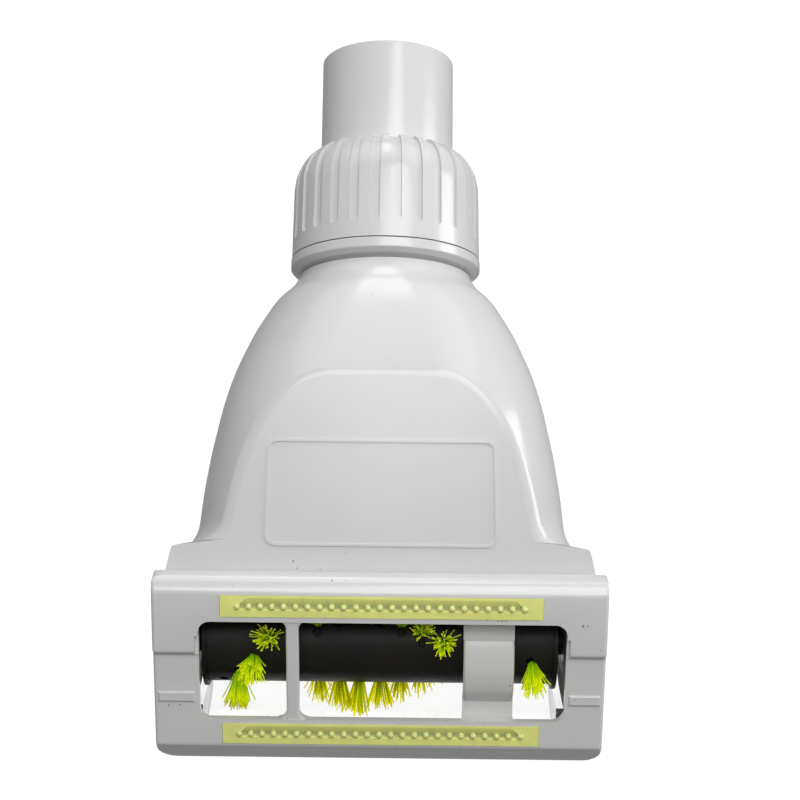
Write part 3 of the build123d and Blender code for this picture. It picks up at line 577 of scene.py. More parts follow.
# By place: rear land, rear wall and the bell behind it, left end, right end, window edges, neck and bell
MARKS = (
    Spot((32.1, 48.9, 0.0), 0.30), Spot((35.4, 48.8, 0.0), 0.28), Spot((36.6, 48.8, 0.0), 0.35),
    Spot((37.8, 48.8, 0.0), 0.28),
    Spot((-26.4, 63.9, -8.8), 0.30), Spot((-25.2, 61.9, -8.2), 0.22), Spot((-18.2, 61.4, -8.1), 0.20),
    Spot((-14.4, 59.9, -3.1), 0.30), Spot((-10.5, 60.0, -3.3), 0.26), Spot((-38.5, 56.7, -0.7), 0.18),
    Spot((-43.9, 58.5, -1.7), 0.18),
    Spot((-64.2, 19.3, -1.6), 0.28), Spot((-60.8, 19.5, -1.6), 0.28),
    Spot((66.4, 39.7, 0.0), 0.24), Spot((59.4, 22.9, -0.9), 0.26), Spot((60.9, 47.4, -0.2), 0.45),
    Spot((62.4, 47.4, -0.2), 0.35), Spot((64.9, 1.9, -4.4), 0.30), Spot((59.3, 6.7, -1.6), 0.18),
    Spot((39.8, 26.3, -3.0), 0.35), Spot((-28.1, 15.0, -1.9), 0.30),
    Spot((-3.7, 138.4, -44.0), 0.14), Spot((-10.5, 66.4, -9.5), 0.18),
)
GREY = MouldedPlastic(
    "grey_shell", Slot.GREY, colour=(0.62, 0.62, 0.615), mottle=0.012, specks=0.012, grain=0.03, spots=MARKS,
)
CLEAR = ClearPlastic("clear_cover", Slot.CLEAR)
STRIP = SoftStrip("nub_strip", Slot.STRIP)
BLACK = MouldedPlastic(
    "black_roller", Slot.BLACK, colour=(0.009, 0.0082, 0.0074), mottle=0.2, roughness=(0.4, 0.55), grain=0.1,
    specular=0.18, specks=0.05, speck_colour=(0.09, 0.085, 0.08),
)
BRISTLE = Filament("lime_filament", Slot.BRISTLE)
STEEL = GroundSteel("ground_steel", Slot.STEEL)
BELT = MouldedPlastic(
    "belt_rubber", Slot.BELT, colour=(0.02, 0.02, 0.02), mottle=0.15, roughness=(0.6, 0.8), grain=0.4,
)
INNER = MouldedPlastic(
    "inner_moulding", Slot.INNER, colour=(0.27, 0.27, 0.27), roughness=(0.4, 0.55), grain=0.12,
)
WHEEL = MouldedPlastic(
    "turbine_moulding", Slot.WHEEL, colour=(0.6, 0.6, 0.57), roughness=(0.35, 0.5), grain=0.1,
)
FELT = Felt("pressed_felt", Slot.FELT)


# Pieces

def clad(nodes: Iterable[str], finish: Finish) -> None:
    """Gives CAD nodes a finish.

    Args:
        nodes: names of the nodes.
        finish: their finish.
    """
    for name in nodes:
        mesh = frame["nodes"][name].data
        mesh.materials.clear()
        mesh.materials.append(finish.material())
        log.info("%s: %s", name, finish.name)


def piece(name: str, mesh: bpy.types.Mesh, body: Body, finish: Finish, *nodes: str) -> None:
    """Puts a finished mesh in the scene on its body.

    Args:
        name: the piece's name.
        mesh: its mesh, in place.
        body: what it rides on.
        finish: its finish; not used.
        nodes: CAD nodes that it stands for.
    """
    made = bpy.data.objects.new(name, mesh)
    bpy.context.scene.collection.objects.link(made)
    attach(made, body.value)
    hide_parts(*nodes)
    log.info("%s: %d faces on %s", name, len(mesh.polygons), body.value)


class NodeShape:
    """A Geometry Nodes tree with named inputs, and what turns it into a plain mesh."""

    def __init__(self, name: str, inputs: dict[str, tuple[str, Any]]) -> None:
        """Starts the tree.

        Args:
            name: the tree's name.
            inputs: type and value of each input, by name.
        """
        self.tree = bpy.data.node_groups.new(name, "GeometryNodeTree")
        self.wires = Wiring(self.tree)
        face = self.tree.interface
        face.new_socket("Geometry", in_out="INPUT", socket_type="NodeSocketGeometry")
        self.values: dict[str, Any] = {}
        for label, (kind, value) in inputs.items():
            socket = face.new_socket(label, in_out="INPUT", socket_type=f"NodeSocket{kind}")
            self.values[socket.identifier] = value
        face.new_socket("Geometry", in_out="OUTPUT", socket_type="NodeSocketGeometry")
        self.given = self.wires.add("NodeGroupInput").outputs

    def chance(self, draw: Draw, low: float = 0.0, high: float = 1.0) -> Socket:
        """Draws a random number for each element.

        Args:
            draw: what it is for.
            low: the least number.
            high: the greatest number.

        Returns:
            The number.
        """
        seed = self.wires.math("ADD", self.given["Seed"], float(draw.value))
        inputs = {"Seed": seed, 2: low, 3: high}
        return self.wires.add("FunctionNodeRandomValue", inputs, data_type="FLOAT").outputs[1]

    def astray(self, draw: Draw) -> Socket:
        """Draws a random vector for each element.

        Args:
            draw: what it is for.

        Returns:
            The vector, with parts from -1 to 1.
        """
        seed = self.wires.math("ADD", self.given["Seed"], float(draw.value))
        inputs = {"Seed": seed, 0: (-1.0, -1.0, -1.0), 1: (1.0, 1.0, 1.0)}
        return self.wires.out("FunctionNodeRandomValue", inputs, data_type="FLOAT_VECTOR")

    def store(self, geometry: Socket, name: str, value: Socket, kind: str = "FLOAT") -> Socket:
        """Keeps a value on the points of a geometry under a name."""
        inputs = {0: geometry, "Name": name, "Value": value}
        return self.wires.out("GeometryNodeStoreNamedAttribute", inputs, data_type=kind, domain="POINT")

    def stored(self, name: str) -> Socket:
        """Reads a vector that is kept under a name."""
        return self.wires.out("GeometryNodeInputNamedAttribute", {"Name": name}, data_type="FLOAT_VECTOR")

    def close(self, geometry: Socket, finish: Finish) -> None:
        """Ends the tree in Realize Instances and Set Material.

        Args:
            geometry: what has been built.
            finish: its finish.
        """
        real = self.wires.out("GeometryNodeRealizeInstances", {0: geometry})
        dressed = self.wires.out("GeometryNodeSetMaterial", {0: real, "Material": finish.material()})
        self.wires.add("NodeGroupOutput", {0: dressed})

    def mesh(self, name: str, source: bpy.types.Mesh) -> bpy.types.Mesh:
        """Runs the tree on a mesh.

        Args:
            name: name of the result.
            source: the mesh that goes in.

        Returns:
            The result as a plain mesh.
        """
        holder = bpy.data.objects.new(f"{name}_source", source)
        bpy.context.scene.collection.objects.link(holder)
        modifier = holder.modifiers.new("shape", "NODES")
        modifier.node_group = self.tree
        for identifier, value in self.values.items():
            modifier[identifier] = value
        holder.update_tag()
        depsgraph = bpy.context.evaluated_depsgraph_get()
        result = bpy.data.meshes.new_from_object(
            holder.evaluated_get(depsgraph), preserve_all_data_layers=True, depsgraph=depsgraph
        )
        result.name = name
        holder.modifiers.remove(modifier)
        bpy.data.objects.remove(holder)
        bpy.data.meshes.remove(source)
        return result


class Fit:
    """A small change of form, in millimetres in the frame of the sole."""

    def move(self, points: np.ndarray) -> np.ndarray:
        """Gives the new places of points, an array with one to a row."""
        raise NotImplementedError

    def turn(self, points: np.ndarray, normals: np.ndarray) -> np.ndarray:
        """Turns normals with the form.

        Args:
            points: where they stand.
            normals: the normals before the change.

        Returns:
            The normals after it, of any length.
        """
        small = 0.01
        steps = small * np.eye(3)
        slopes = [(self.move(points + step) - self.move(points - step)) / (2 * small) for step in steps]
        return np.linalg.solve(np.stack(slopes, axis=1), normals[:, :, None])[:, :, 0]


@dataclass(frozen=True)
class SoleFit(Fit):
    """Sets the sole's edges where the photograph has them: a crowned rear land and squarer rear corners."""

    across: Table = (
        (-90.0, -90.0), (-68.5, -68.5), (-55.5, -54.6), (-29.0, -29.0), (42.0, 42.0), (55.5, 56.4),
        (68.5, 68.5), (90.0, 90.0),
    )
    along: Table = (
        (-20.0, -20.0), (0.0, 0.0), (7.2, 6.1), (14.3, 13.4), (16.8, 14.9), (22.0, 20.8), (26.0, 24.0),
        (37.5, 36.4), (48.2, 47.6), (49.9, 49.3), (56.3, 55.9), (61.0, 60.3), (80.0, 79.3),
    )
    crown_from: float = 47.0
    crown: float = 0.0063
    fade_depths: Pair = (-7.0, -2.0)
    wall_span: Pair = (56.3, 58.3)
    corner: Pair = (66.0, 58.5)
    square: float = 5.0
    least: float = 1e-5

    def move(self, points: np.ndarray) -> np.ndarray:
        """Moves points of the sole plate.

        Args:
            points: an array of places, one to a row.

        Returns:
            Their new places.
        """
        x, y, z = points.T
        side, rear = self.corner
        out = np.maximum(np.abs(x) - side, self.least)
        back = np.maximum(y - rear, self.least)
        inside = (out > self.least) & (back > self.least)
        stretch = np.hypot(out, back) / (out ** self.square + back ** self.square) ** (1 / self.square)
        x = np.where(inside, np.sign(x) * (side + out * stretch), x)
        y = np.where(inside, rear + back * stretch, y)
        fade = np.interp(z, self.fade_depths, UNIT)
        step = (read(self.along, y) - y) * (1 - np.interp(y, self.wall_span, UNIT) * (1 - fade))
        z = z - self.crown * fade * np.maximum(0.0, y - self.crown_from) ** 2
        return np.stack((read(self.across, x), y + step, z), axis=1)


@dataclass(frozen=True)
class ShoulderFit(Fit):
    """Draws the shoulders of the housing down into a longer flare and tapers the head behind the sole."""

    waist: Table = (
        (4.0, 1.0), (12.0, 0.967), (20.5, 0.968), (27.0, 0.981), (40.0, 0.984), (60.0, 0.976), (73.0, 0.983),
        (86.5, 0.995), (91.0, 1.0),
    )
    drop: float = 2.0
    drop_span: Pair = (57.5, 62.5)
    drop_along: Table = ((84.0, 0.0), (90.0, 1.0), (98.0, 1.0), (106.0, 0.0))
    taper_span: Pair = (61.0, 66.1)
    taper: Table = ((99.0, 2.6), (105.3, 1.2), (112.0, 0.0))

    def move(self, points: np.ndarray) -> np.ndarray:
        """Moves points of the housing.

        Args:
            points: an array of places, one to a row.

        Returns:
            Their new places.
        """
        x, y, z = points.T
        wide = np.abs(x)
        below = -SOLE.rise(y, z)
        share = np.interp(wide, self.drop_span, UNIT)
        step = self.drop * share ** 2 * (3 - 2 * share) * read(self.drop_along, below)
        wide = wide - np.interp(wide, self.taper_span, UNIT) ** 2 * read(self.taper, below + step)
        wide = wide * read(self.waist, below)
        flat = math.radians(SOLE.face_tilt)
        return np.stack((np.sign(x) * wide, y - step * math.cos(flat), z + step * math.sin(flat)), axis=1)


@dataclass(frozen=True)
class CollarFit(Fit):
    """Lowers the dome of the collar along the axis of the tube."""

    span: Pair = (8.0, 39.0)
    drop: float = 2.1

    def move(self, points: np.ndarray) -> np.ndarray:
        """Moves points of the collar.

        Args:
            points: an array of places, one to a row.

        Returns:
            Their new places.
        """
        x, y, z = points.T
        tilt = math.radians(SOLE.neck_tilt)
        step = np.interp(SOLE.rise(y, z), self.span, (0.0, self.drop))
        return np.stack((x, y - step * math.cos(tilt), z + step * math.sin(tilt)), axis=1)


@dataclass
class Moulding:
    """A grey moulding whose solid gets a small change of form."""

    name: str
    node: str
    fit: Fit
    body: Body = Body.HOUSING

    def build(self) -> None:
        """Copies the solid's mesh, changes it and puts it in the solid's place."""
        source = frame["nodes"][self.node].data
        normals = np.empty(3 * len(source.loops), np.float32)
        source.corner_normals.foreach_get("vector", normals)
        shape = bmesh.new()
        shape.from_mesh(source)
        origin = shape.loops.layers.int.new("origin")
        for face in shape.faces:
            face.smooth = True
            for place, loop in enumerate(face.loops):
                loop[origin] = 3 * face.index + place
        bmesh.ops.remove_doubles(shape, verts=shape.verts[:], dist=MERGE_DISTANCE)
        mesh = bpy.data.meshes.new(self.name)
        shape.to_mesh(mesh)
        shape.free()
        self.change(mesh, normals.reshape(-1, 3))
        mesh.materials.append(GREY.material())
        piece(self.name, mesh, self.body, GREY, self.node)

    def change(self, mesh: bpy.types.Mesh, normals: np.ndarray) -> None:
        """Moves the mesh's points and turns its normals with them.

        Args:
            mesh: the mesh, whose corners name the corner that each comes from.
            normals: the normals of those corners.
        """
        to_row = np.array(SOLE.to_row())
        turn, shift = to_row[:3, :3], to_row[:3, 3]
        points = np.empty(3 * len(mesh.vertices), np.float32)
        mesh.vertices.foreach_get("co", points)
        points = np.linalg.solve(turn, (points.reshape(-1, 3) - shift).T).T
        origin = np.empty(len(mesh.loops), np.int32)
        mesh.attributes["origin"].data.foreach_get("value", origin)
        ends = np.empty(len(mesh.loops), np.int32)
        mesh.loops.foreach_get("vertex_index", ends)
        turned = self.fit.turn(points[ends], normals[origin] @ turn) @ turn.T
        turned /= np.linalg.norm(turned, axis=1, keepdims=True)
        moved = self.fit.move(points) @ turn.T + shift
        mesh.vertices.foreach_set("co", moved.astype(np.float32).ravel())
        mesh.attributes.remove(mesh.attributes["origin"])
        mesh.normals_split_custom_set(turned.tolist())
        mesh.update()


@dataclass
class Shell:
    """The solids that keep their form: neck ring and tube, clear cover, roller core and the drive."""

    grey: tuple[str, ...] = ("neck_ring", "neck_tube")
    black: tuple[str, ...] = ("brush_core", "roller_cap_left", "roller_cap_right", "turbine_pulley")
    steel: tuple[str, ...] = (
        "housing_screws", "roller_bearing_left", "roller_bearing_right", "turbine_bearing_left",
        "turbine_bearing_right", "roller_axle", "turbine_shaft",
    )
    inner: tuple[str, ...] = (
        "roller_block_left", "roller_block_right", "turbine_wall_left", "turbine_wall_right", "air_baffle",
    )

    def build(self) -> None:
        """Gives every such solid its finish."""
        clad(self.grey, GREY)
        clad(self.black, BLACK)
        clad(self.steel, STEEL)
        clad(self.inner, INNER)
        clad(("front_cover",), CLEAR)
        clad(("turbine_wheel",), WHEEL)
        clad(("drive_belt",), BELT)
        clad(("neck_seal",), FELT)


@dataclass
class LintStrip:
    """A soft strip in the sole with a trough and a row of domed nubs. Sizes in millimetres."""

    name: str
    node: str
    middle: float
    face: float
    length: float = 97.0
    width: float = 6.4
    sunk: float = 1.5
    rise: float = 0.3
    cell: Pair = (0.3, 0.2)
    trough: float = 0.9
    trough_reach: float = 2.56
    trough_wall: float = 0.35
    trough_end: float = 0.5
    scallop: float = 0.95
    nub_count: int = 25
    nub_pitch: float = 3.6
    nub_radius: float = 0.95
    nub_rise: float = 1.2
    nub_sunk: float = 0.2
    nub_segments: int = 14
    nub_rings: int = 10
    nub_equator: float = -0.01
    nub_foot: tuple[Pair, Pair] = ((-0.2, 0.0), (1.08, 1.0))
    nub_shade: tuple[Pair, Pair] = ((0.0, 0.5), (0.35, 1.0))

    def depth(self, x: float, y: float) -> float:
        """Says how deep the trough is, from 0 to 1.

        Args:
            x: place along the strip.
            y: place across it, to the rear.

        Returns:
            The share of the full depth.
        """
        last = (self.nub_count - 1) * self.nub_pitch / 2
        end = last - abs(x)
        if end < 0.0:
            return 0.0
        front = -self.scallop * abs(math.sin(math.pi * (x + last) / self.nub_pitch))
        wall = clamp((y - front) / self.trough_wall)
        ramp = clamp(1.0 - y / self.trough_reach)
        side = clamp((end - max(0.0, y)) / self.trough_end)
        return wall * ramp * side

    def base(self) -> bpy.types.Mesh:
        """Makes the strip without its nubs.

        Returns:
            A closed mesh with the depth share of the trough on its points, which the finish paints as shade.
        """
        columns = round(self.length / self.cell[0])
        rows = round(self.width / self.cell[1])
        shape = bmesh.new()
        # Painted shade mask: the trough's depth share, kept for the finish to darken the rubber.
        trough_shade = shape.verts.layers.float.new("trough_shade")
        grid = []
        for i in range(columns + 1):
            x = self.length * (i / columns - 0.5)
            line = []
            for j in range(rows + 1):
                y = self.width * (j / rows - 0.5)
                share = self.depth(x, y)
                point = shape.verts.new((x, y, self.rise - self.trough * share))
                point[trough_shade] = share
                line.append(point)
            grid.append(line)
        for i in range(columns):
            for j in range(rows):
                shape.faces.new((grid[i][j], grid[i + 1][j], grid[i + 1][j + 1], grid[i][j + 1]))
        rim = [edge for edge in shape.edges if edge.is_boundary]
        wall = bmesh.ops.extrude_edge_only(shape, edges=rim)["geom"]
        for point in (part for part in wall if isinstance(part, bmesh.types.BMVert)):
            point.co.z = -self.sunk
        bmesh.ops.contextual_create(shape, geom=[part for part in wall if isinstance(part, bmesh.types.BMEdge)])
        bmesh.ops.recalc_face_normals(shape, faces=shape.faces)
        mesh = bpy.data.meshes.new(self.name)
        shape.to_mesh(mesh)
        shape.free()
        return mesh

    def nub(self, tree: NodeShape) -> Socket:
        """Draws one domed nub out of a ball of radius 1.

        Args:
            tree: the strip's tree.

        Returns:
            The nub, with its shade stored on its points.
        """
        wires, given = tree.wires, tree.given
        ball = wires.out("GeometryNodeMeshUVSphere", {
            "Segments": self.nub_segments, "Rings": self.nub_rings, "Radius": 1.0,
        })
        x, y, z = wires.add("ShaderNodeSeparateXYZ", {0: wires.out("GeometryNodeInputPosition")}).outputs
        dome = wires.math("MULTIPLY", wires.math("MAXIMUM", z, 0.0), given["Radius"])
        shaft = wires.math("SUBTRACT", given["Height"], given["Radius"])
        upper = wires.math("GREATER_THAN", z, self.nub_equator)
        tall = wires.math("ADD", dome, wires.math("MULTIPLY", shaft, upper))
        broad = wires.math("MULTIPLY", given["Radius"], wires.remap(z, *self.nub_foot))
        place = wires.xyz(wires.math("MULTIPLY", x, broad), wires.math("MULTIPLY", y, broad), tall)
        nub = wires.out("GeometryNodeSetPosition", {0: ball, "Position": place})
        nub = wires.out("GeometryNodeSetShadeSmooth", {0: nub})
        return tree.store(nub, "nub", wires.remap(z, *self.nub_shade))

    def build(self) -> None:
        """Adds the nubs and puts the strip in place of its solid."""
        low = self.rise - self.trough - self.nub_sunk
        tree = NodeShape(f"{self.name} nubs", {
            "Nubs": ("Int", self.nub_count),
            "Pitch": ("Float", self.nub_pitch),
            "Radius": ("Float", self.nub_radius),
            "Height": ("Float", self.nub_rise - low),
            "Foot": ("Float", low),
        })
        wires, given = tree.wires, tree.given
        span = wires.math("MULTIPLY", wires.math("SUBTRACT", given["Nubs"], 1.0), given["Pitch"])
        line = wires.out("GeometryNodeMeshLine", {
            "Count": given["Nubs"],
            "Start Location": wires.xyz(wires.math("MULTIPLY", span, -0.5), 0.0, given["Foot"]),
            "Offset": wires.xyz(given["Pitch"]),
        })
        row = wires.out("GeometryNodeInstanceOnPoints", {"Points": line, "Instance": self.nub(tree)})
        both = wires.add("GeometryNodeJoinGeometry")
        for part in (row, given["Geometry"]):
            tree.tree.links.new(part, both.inputs[0])
        tree.close(both.outputs[0], STRIP)
        mesh = tree.mesh(self.name, self.base())
        mesh.transform(Matrix.Translation((0, self.middle, self.face)))
        points = np.empty(3 * len(mesh.vertices), np.float32)
        mesh.vertices.foreach_get("co", points)
        moved = SoleFit().move(points.reshape(-1, 3))
        mesh.vertices.foreach_set("co", moved.astype(np.float32).ravel())
        mesh.transform(SOLE.to_row())
        piece(self.name, mesh, Body.HOUSING, STRIP, self.node)


@dataclass(frozen=True)
class Tuft:
    """How full a tuft is: its number of filaments, and how sheer they look at least and at most."""

    filaments: int
    sheer: Pair


@dataclass
class BristleRow:
    """One helical row of bristle tufts on the roller. Sizes in millimetres and degrees."""

    name: str
    node: str
    phase: float
    seed: int
    tuft: Tuft
    core_radius: float = 13.5
    tip_radius: float = 24.2
    sunk: float = 1.0
    root: float = 1.45
    spread: float = 0.22
    spread_least: float = 0.7
    wild_power: float = 3.0
    thickness: float = 0.19
    tip_share: float = 0.8
    curl: float = 1.2
    curl_out: float = 0.55
    curl_stray: float = 0.5
    curl_power: float = 2.0
    lengths: Pair = (0.9, 1.0)
    hair_points: int = 6
    hair_sides: int = 4
    apex: float = 82.0
    apex_tuft: int = 2
    step: float = 12.2
    left_turn: float = 21.6
    end_step: float = 29.0
    right_turn: float = 34.2
    left_bay: tuple[float, ...] = (-43.4, -38.8, -34.2)
    middle_bay: tuple[float, float, int] = (-19.3, 19.4, 7)
    right_place: float = 47.0

    def places(self) -> list[Pair]:
        """Lists where the tufts stand.

        Returns:
            X and angle of each tuft, the angle from straight out of the sole to the nose.
        """
        first, last, count = self.middle_bay
        pitch = (last - first) / (count - 1)
        row = [(first + k * pitch, self.apex + self.step * abs(k - self.apex_tuft)) for k in range(count)]
        angle = row[0][1] + self.left_turn
        for x in reversed(self.left_bay):
            row.append((x, angle))
            angle += self.end_step
        row.append((self.right_place, row[count - 1][1] + self.right_turn))
        return [(x, angle + self.phase) for x, angle in row]

    def roots(self) -> bpy.types.Mesh:
        """Makes one point for each tuft, with the way that it points.

        Returns:
            A mesh of points in the frame of the sole.
        """
        points, ways = [], []
        for x, angle in self.places():
            turn = math.radians(angle)
            way = Vector((0.0, -math.sin(turn), math.cos(turn)))
            middle = Vector((x, SOLE.roller_y, SOLE.roller_z))
            points.append(middle + way * (self.core_radius - self.sunk))
            ways.extend(way)
        mesh = bpy.data.meshes.new(f"{self.name}_roots")
        mesh.from_pydata(points, [], [])
        mesh.attributes.new("way", "FLOAT_VECTOR", "POINT").data.foreach_set("vector", ways)
        return mesh

    def scatter(self, tree: NodeShape) -> tuple[Socket, Socket]:
        """Spreads the filaments of each tuft around its root.

        Args:
            tree: the row's tree.

        Returns:
            A point for each filament, and the way that it leans.
        """
        wires, given = tree.wires, tree.given
        copies = wires.out(
            "GeometryNodeDuplicateElements", {"Geometry": given["Geometry"], "Amount": given["Filaments"]},
            domain="POINT",
        )
        way, along_x = tree.stored("way"), (1.0, 0.0, 0.0)
        aside = wires.vector("CROSS_PRODUCT", way, along_x)
        away = wires.math("SQRT", tree.chance(Draw.RADIUS))
        turn = tree.chance(Draw.TURN, 0.0, math.tau)
        u = wires.math("MULTIPLY", away, wires.math("COSINE", turn))
        v = wires.math("MULTIPLY", away, wires.math("SINE", turn))
        out = wires.vector(
            "ADD", wires.vector("SCALE", along_x, scale=u), wires.vector("SCALE", aside, scale=v)
        )
        wild = wires.math("POWER", tree.chance(Draw.WILD), self.wild_power)
        fan = wires.math("MULTIPLY", given["Spread"], wires.math("ADD", self.spread_least, wild))
        lean = wires.vector("NORMALIZE", wires.vector("ADD", way, wires.vector("SCALE", out, scale=fan)))
        droop = wires.vector("SCALE", out, scale=self.curl_out)
        stray = wires.vector("SCALE", tree.astray(Draw.STRAY), scale=self.curl_stray)
        bend = wires.vector("SCALE", wires.vector("ADD", droop, stray), scale=given["Curl"])
        copies = tree.store(copies, "bend", bend, "FLOAT_VECTOR")
        copies = tree.store(copies, "tone", tree.chance(Draw.TONE))
        copies = tree.store(copies, "sheer", tree.chance(Draw.SHEER, *self.tuft.sheer))
        root = wires.vector("SCALE", out, scale=given["Root Radius"])
        return wires.out("GeometryNodeSetPosition", {0: copies, "Offset": root}), lean

    def grow(self, tree: NodeShape, roots: Socket, lean: Socket) -> Socket:
        """Grows a bent filament on each point.

        Args:
            tree: the row's tree.
            roots: the points.
            lean: the way that each filament leans.

        Returns:
            The filaments as a mesh.
        """
        wires, given = tree.wires, tree.given
        line = wires.out("GeometryNodeCurvePrimitiveLine", {"Start": (0, 0, 0), "End": (0, 0, 1)})
        line = wires.out("GeometryNodeResampleCurve", {"Curve": line, "Count": self.hair_points})
        reach = wires.math("MULTIPLY", given["Length"], tree.chance(Draw.LENGTH, *self.lengths))
        hairs = wires.out("GeometryNodeInstanceOnPoints", {
            "Points": roots,
            "Instance": line,
            "Rotation": wires.out("FunctionNodeAlignRotationToVector", {"Vector": lean}, axis="Z"),
            "Scale": wires.xyz(1.0, 1.0, reach),
        })
        hairs = wires.out("GeometryNodeRealizeInstances", {0: hairs})
        share = wires.add("GeometryNodeSplineParameter").outputs["Factor"]
        bent = wires.math("POWER", share, self.curl_power)
        droop = wires.vector("SCALE", tree.stored("bend"), scale=bent)
        hairs = wires.out("GeometryNodeSetPosition", {0: hairs, "Offset": droop})
        # Kept for the finish, which from it paints shade at the root and a glow towards the tip.
        hairs = tree.store(hairs, "along", share)
        slim = wires.remap(share, UNIT, (1.0, self.tip_share))
        hairs = wires.out("GeometryNodeSetCurveRadius", {0: hairs, "Radius": slim})
        ring = wires.out("GeometryNodeCurvePrimitiveCircle", {
            "Resolution": self.hair_sides, "Radius": given["Thickness"],
        }, mode="RADIUS")
        hairs = wires.out("GeometryNodeCurveToMesh", {0: hairs, 1: ring, "Fill Caps": True})
        return wires.out("GeometryNodeSetShadeSmooth", {0: hairs})

    def build(self) -> None:
        """Grows the filaments and puts the row in place of its solid."""
        tree = NodeShape(f"{self.name} filaments", {
            "Filaments": ("Int", self.tuft.filaments),
            "Root Radius": ("Float", self.root),
            "Spread": ("Float", self.spread),
            "Length": ("Float", self.tip_radius - self.core_radius + self.sunk),
            "Thickness": ("Float", self.thickness),
            "Curl": ("Float", self.curl),
            "Seed": ("Int", self.seed),
        })
        tree.close(self.grow(tree, *self.scatter(tree)), BRISTLE)
        mesh = tree.mesh(self.name, self.roots())
        mesh.transform(SOLE.to_row())
        piece(self.name, mesh, Body.BRUSH, BRISTLE, self.node)


# Studio

@dataclass(frozen=True)
class Lamp:
    """A soft area lamp: where it stands from the middle of the object, its size and its power."""

    name: str
    place: Triple
    size: Pair
    watts: float

    def build(self, target: Vector) -> None:
        """Hangs the lamp and turns it to the target.

        Args:
            target: the point that it faces.
        """
        light = bpy.data.lights.new(self.name, "AREA")
        light.shape = "RECTANGLE"
        light.size, light.size_y = self.size
        light.energy = self.watts
        stand = bpy.data.objects.new(self.name, light)
        stand.location = target + Vector(self.place)
        stand.rotation_euler = (-Vector(self.place)).to_track_quat("-Z", "Y").to_euler()
        bpy.context.scene.collection.objects.link(stand)


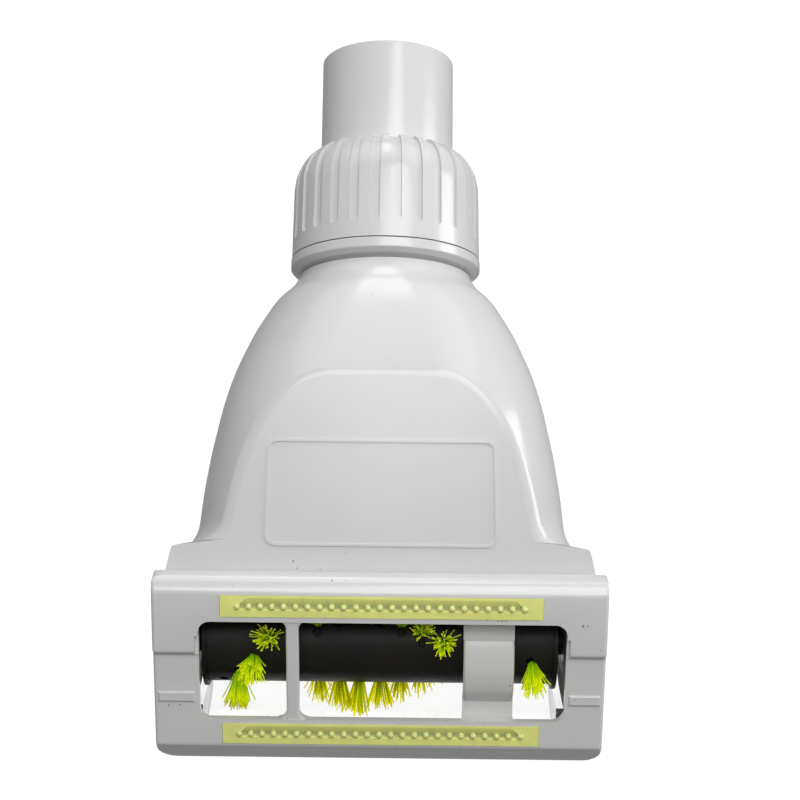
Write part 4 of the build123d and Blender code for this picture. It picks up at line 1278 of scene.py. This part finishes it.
@dataclass
class Studio:
    """White floor, soft lamps, a pale world and the camera."""

    floor_size: float = 6.0
    floor_colour: Triple = (0.1, 0.1, 0.1)
    mirror_share: float = 0.3
    world_light: Pair = (0.06, 0.32)
    bright_side: Triple = (0.30, 0.43, 0.85)
    lamps: tuple[Lamp, ...] = (
        Lamp("overhead", (0.13, 0.095, 0.88), (0.52, 0.755), 5.7),
        Lamp("back", (0.03, 0.74, 0.44), (1.30, 0.60), 2.5),
        Lamp("streak", (0.0, 0.72, 0.38), (0.10, 0.30), 0.45),
        Lamp("right_fill", (0.98, 0.18, 0.14), (0.5, 0.5), 4.6),
        Lamp("left_fill", (-0.95, 0.0, 0.35), (0.4, 0.6), 0.4),
    )
    camera_from_roller: Triple = (5.3, -54.65, 534.2)
    camera_pitch: float = 13.89
    camera_roll: float = 0.65
    lens: float = 76.0
    sensor: float = 36.0

    def seen(self, wires: Wiring) -> Socket:
        """Tells rays that show the background from those that carry light.

        Args:
            wires: the tree that asks.

        Returns:
            One for camera and transmission rays, less for glossy rays, otherwise nought.
        """
        path = wires.add("ShaderNodeLightPath").outputs
        both = wires.math("MAXIMUM", path["Is Camera Ray"], path["Is Transmission Ray"])
        return wires.math("MAXIMUM", both, wires.math("MULTIPLY", path["Is Glossy Ray"], self.mirror_share))

    def floor(self) -> None:
        """Lays the white floor."""
        half = self.floor_size / 2
        mesh = bpy.data.meshes.new("floor")
        corners = [(-half, -half, 0), (half, -half, 0), (half, half, 0), (-half, half, 0)]
        mesh.from_pydata(corners, [], [(0, 1, 2, 3)])
        ground = bpy.data.objects.new("floor", mesh)
        bpy.context.scene.collection.objects.link(ground)
        paper = bpy.data.materials.new("white_floor")
        paper.use_nodes = True
        wires = Wiring(paper.node_tree)
        matt = wires.out("ShaderNodeBsdfDiffuse", {"Color": (*self.floor_colour, 1.0)})
        white = wires.out("ShaderNodeEmission", {"Strength": self.seen(wires)})
        both = wires.out("ShaderNodeAddShader", {0: matt, 1: white})
        wires.add("ShaderNodeOutputMaterial", {"Surface": both})
        mesh.materials.append(paper)

    def world(self) -> None:
        """Makes the world: white to look at, and brighter from behind and above as light."""
        world = bpy.data.worlds.new("studio")
        world.use_nodes = True
        wires = Wiring(world.node_tree)
        way = wires.add("ShaderNodeTexCoord").outputs["Generated"]
        lit = wires.vector("DOT_PRODUCT", way, tuple(Vector(self.bright_side).normalized()))
        level = wires.remap(lit, (-1.0, 1.0), self.world_light)
        light = wires.out("ShaderNodeBackground", {"Strength": level})
        white = wires.out("ShaderNodeBackground", {"Color": (1, 1, 1, 1), "Strength": 1.0})
        both = wires.out("ShaderNodeMixShader", {0: self.seen(wires), 1: light, 2: white})
        wires.add("ShaderNodeOutputWorld", {"Surface": both})
        bpy.context.scene.world = world

    def camera(self) -> None:
        """Sets the camera at the viewing angle of the photograph."""
        data = bpy.data.cameras.new("camera")
        data.lens = self.lens
        data.sensor_width = self.sensor
        eye = bpy.data.objects.new("camera", data)
        roller = Vector(joint("brush_spin")["pos_m"])
        place = Matrix.Translation(roller + Vector(self.camera_from_roller) * MM)
        pitch = Matrix.Rotation(math.radians(self.camera_pitch), 4, "X")
        eye.matrix_world = place @ pitch @ Matrix.Rotation(math.radians(self.camera_roll), 4, "Z")
        bpy.context.scene.collection.objects.link(eye)
        bpy.context.scene.camera = eye

    def build(self) -> None:
        """Builds the studio."""
        bpy.context.scene.view_settings.view_transform = "Standard"
        self.floor()
        self.world()
        low, high = CAD_BOX
        middle = (Vector(low) + Vector(high)) / 2
        for lamp in self.lamps:
            lamp.build(middle)
        self.camera()


def main() -> None:
    """Builds the studio and every piece."""
    Studio().build()
    Shell().build()
    Moulding("sole_moulding", "sole_plate", SoleFit()).build()
    Moulding("lower_moulding", "lower_housing", ShoulderFit()).build()
    Moulding("upper_moulding", "upper_housing", ShoulderFit()).build()
    Moulding("collar_moulding", "swivel_collar", CollarFit(), Body.NECK).build()
    LintStrip("rear_nub_strip", "rear_lint_strip", middle=53.1, face=0.0).build()
    LintStrip("front_nub_strip", "front_lint_strip", middle=11.1, face=-1.6).build()
    thin, full = Tuft(46, (0.6, 0.9)), Tuft(90, (0.1, 0.3))
    rows = ((0.0, thin), (-152.0, full), (-249.0, full))
    for number, (phase, tuft) in enumerate(rows, 1):
        seed = SEED_STEP * number
        BristleRow(f"bristles_{number}", f"bristle_row_{number}", phase, seed, tuft).build()


if __name__ == "__main__":
    main()
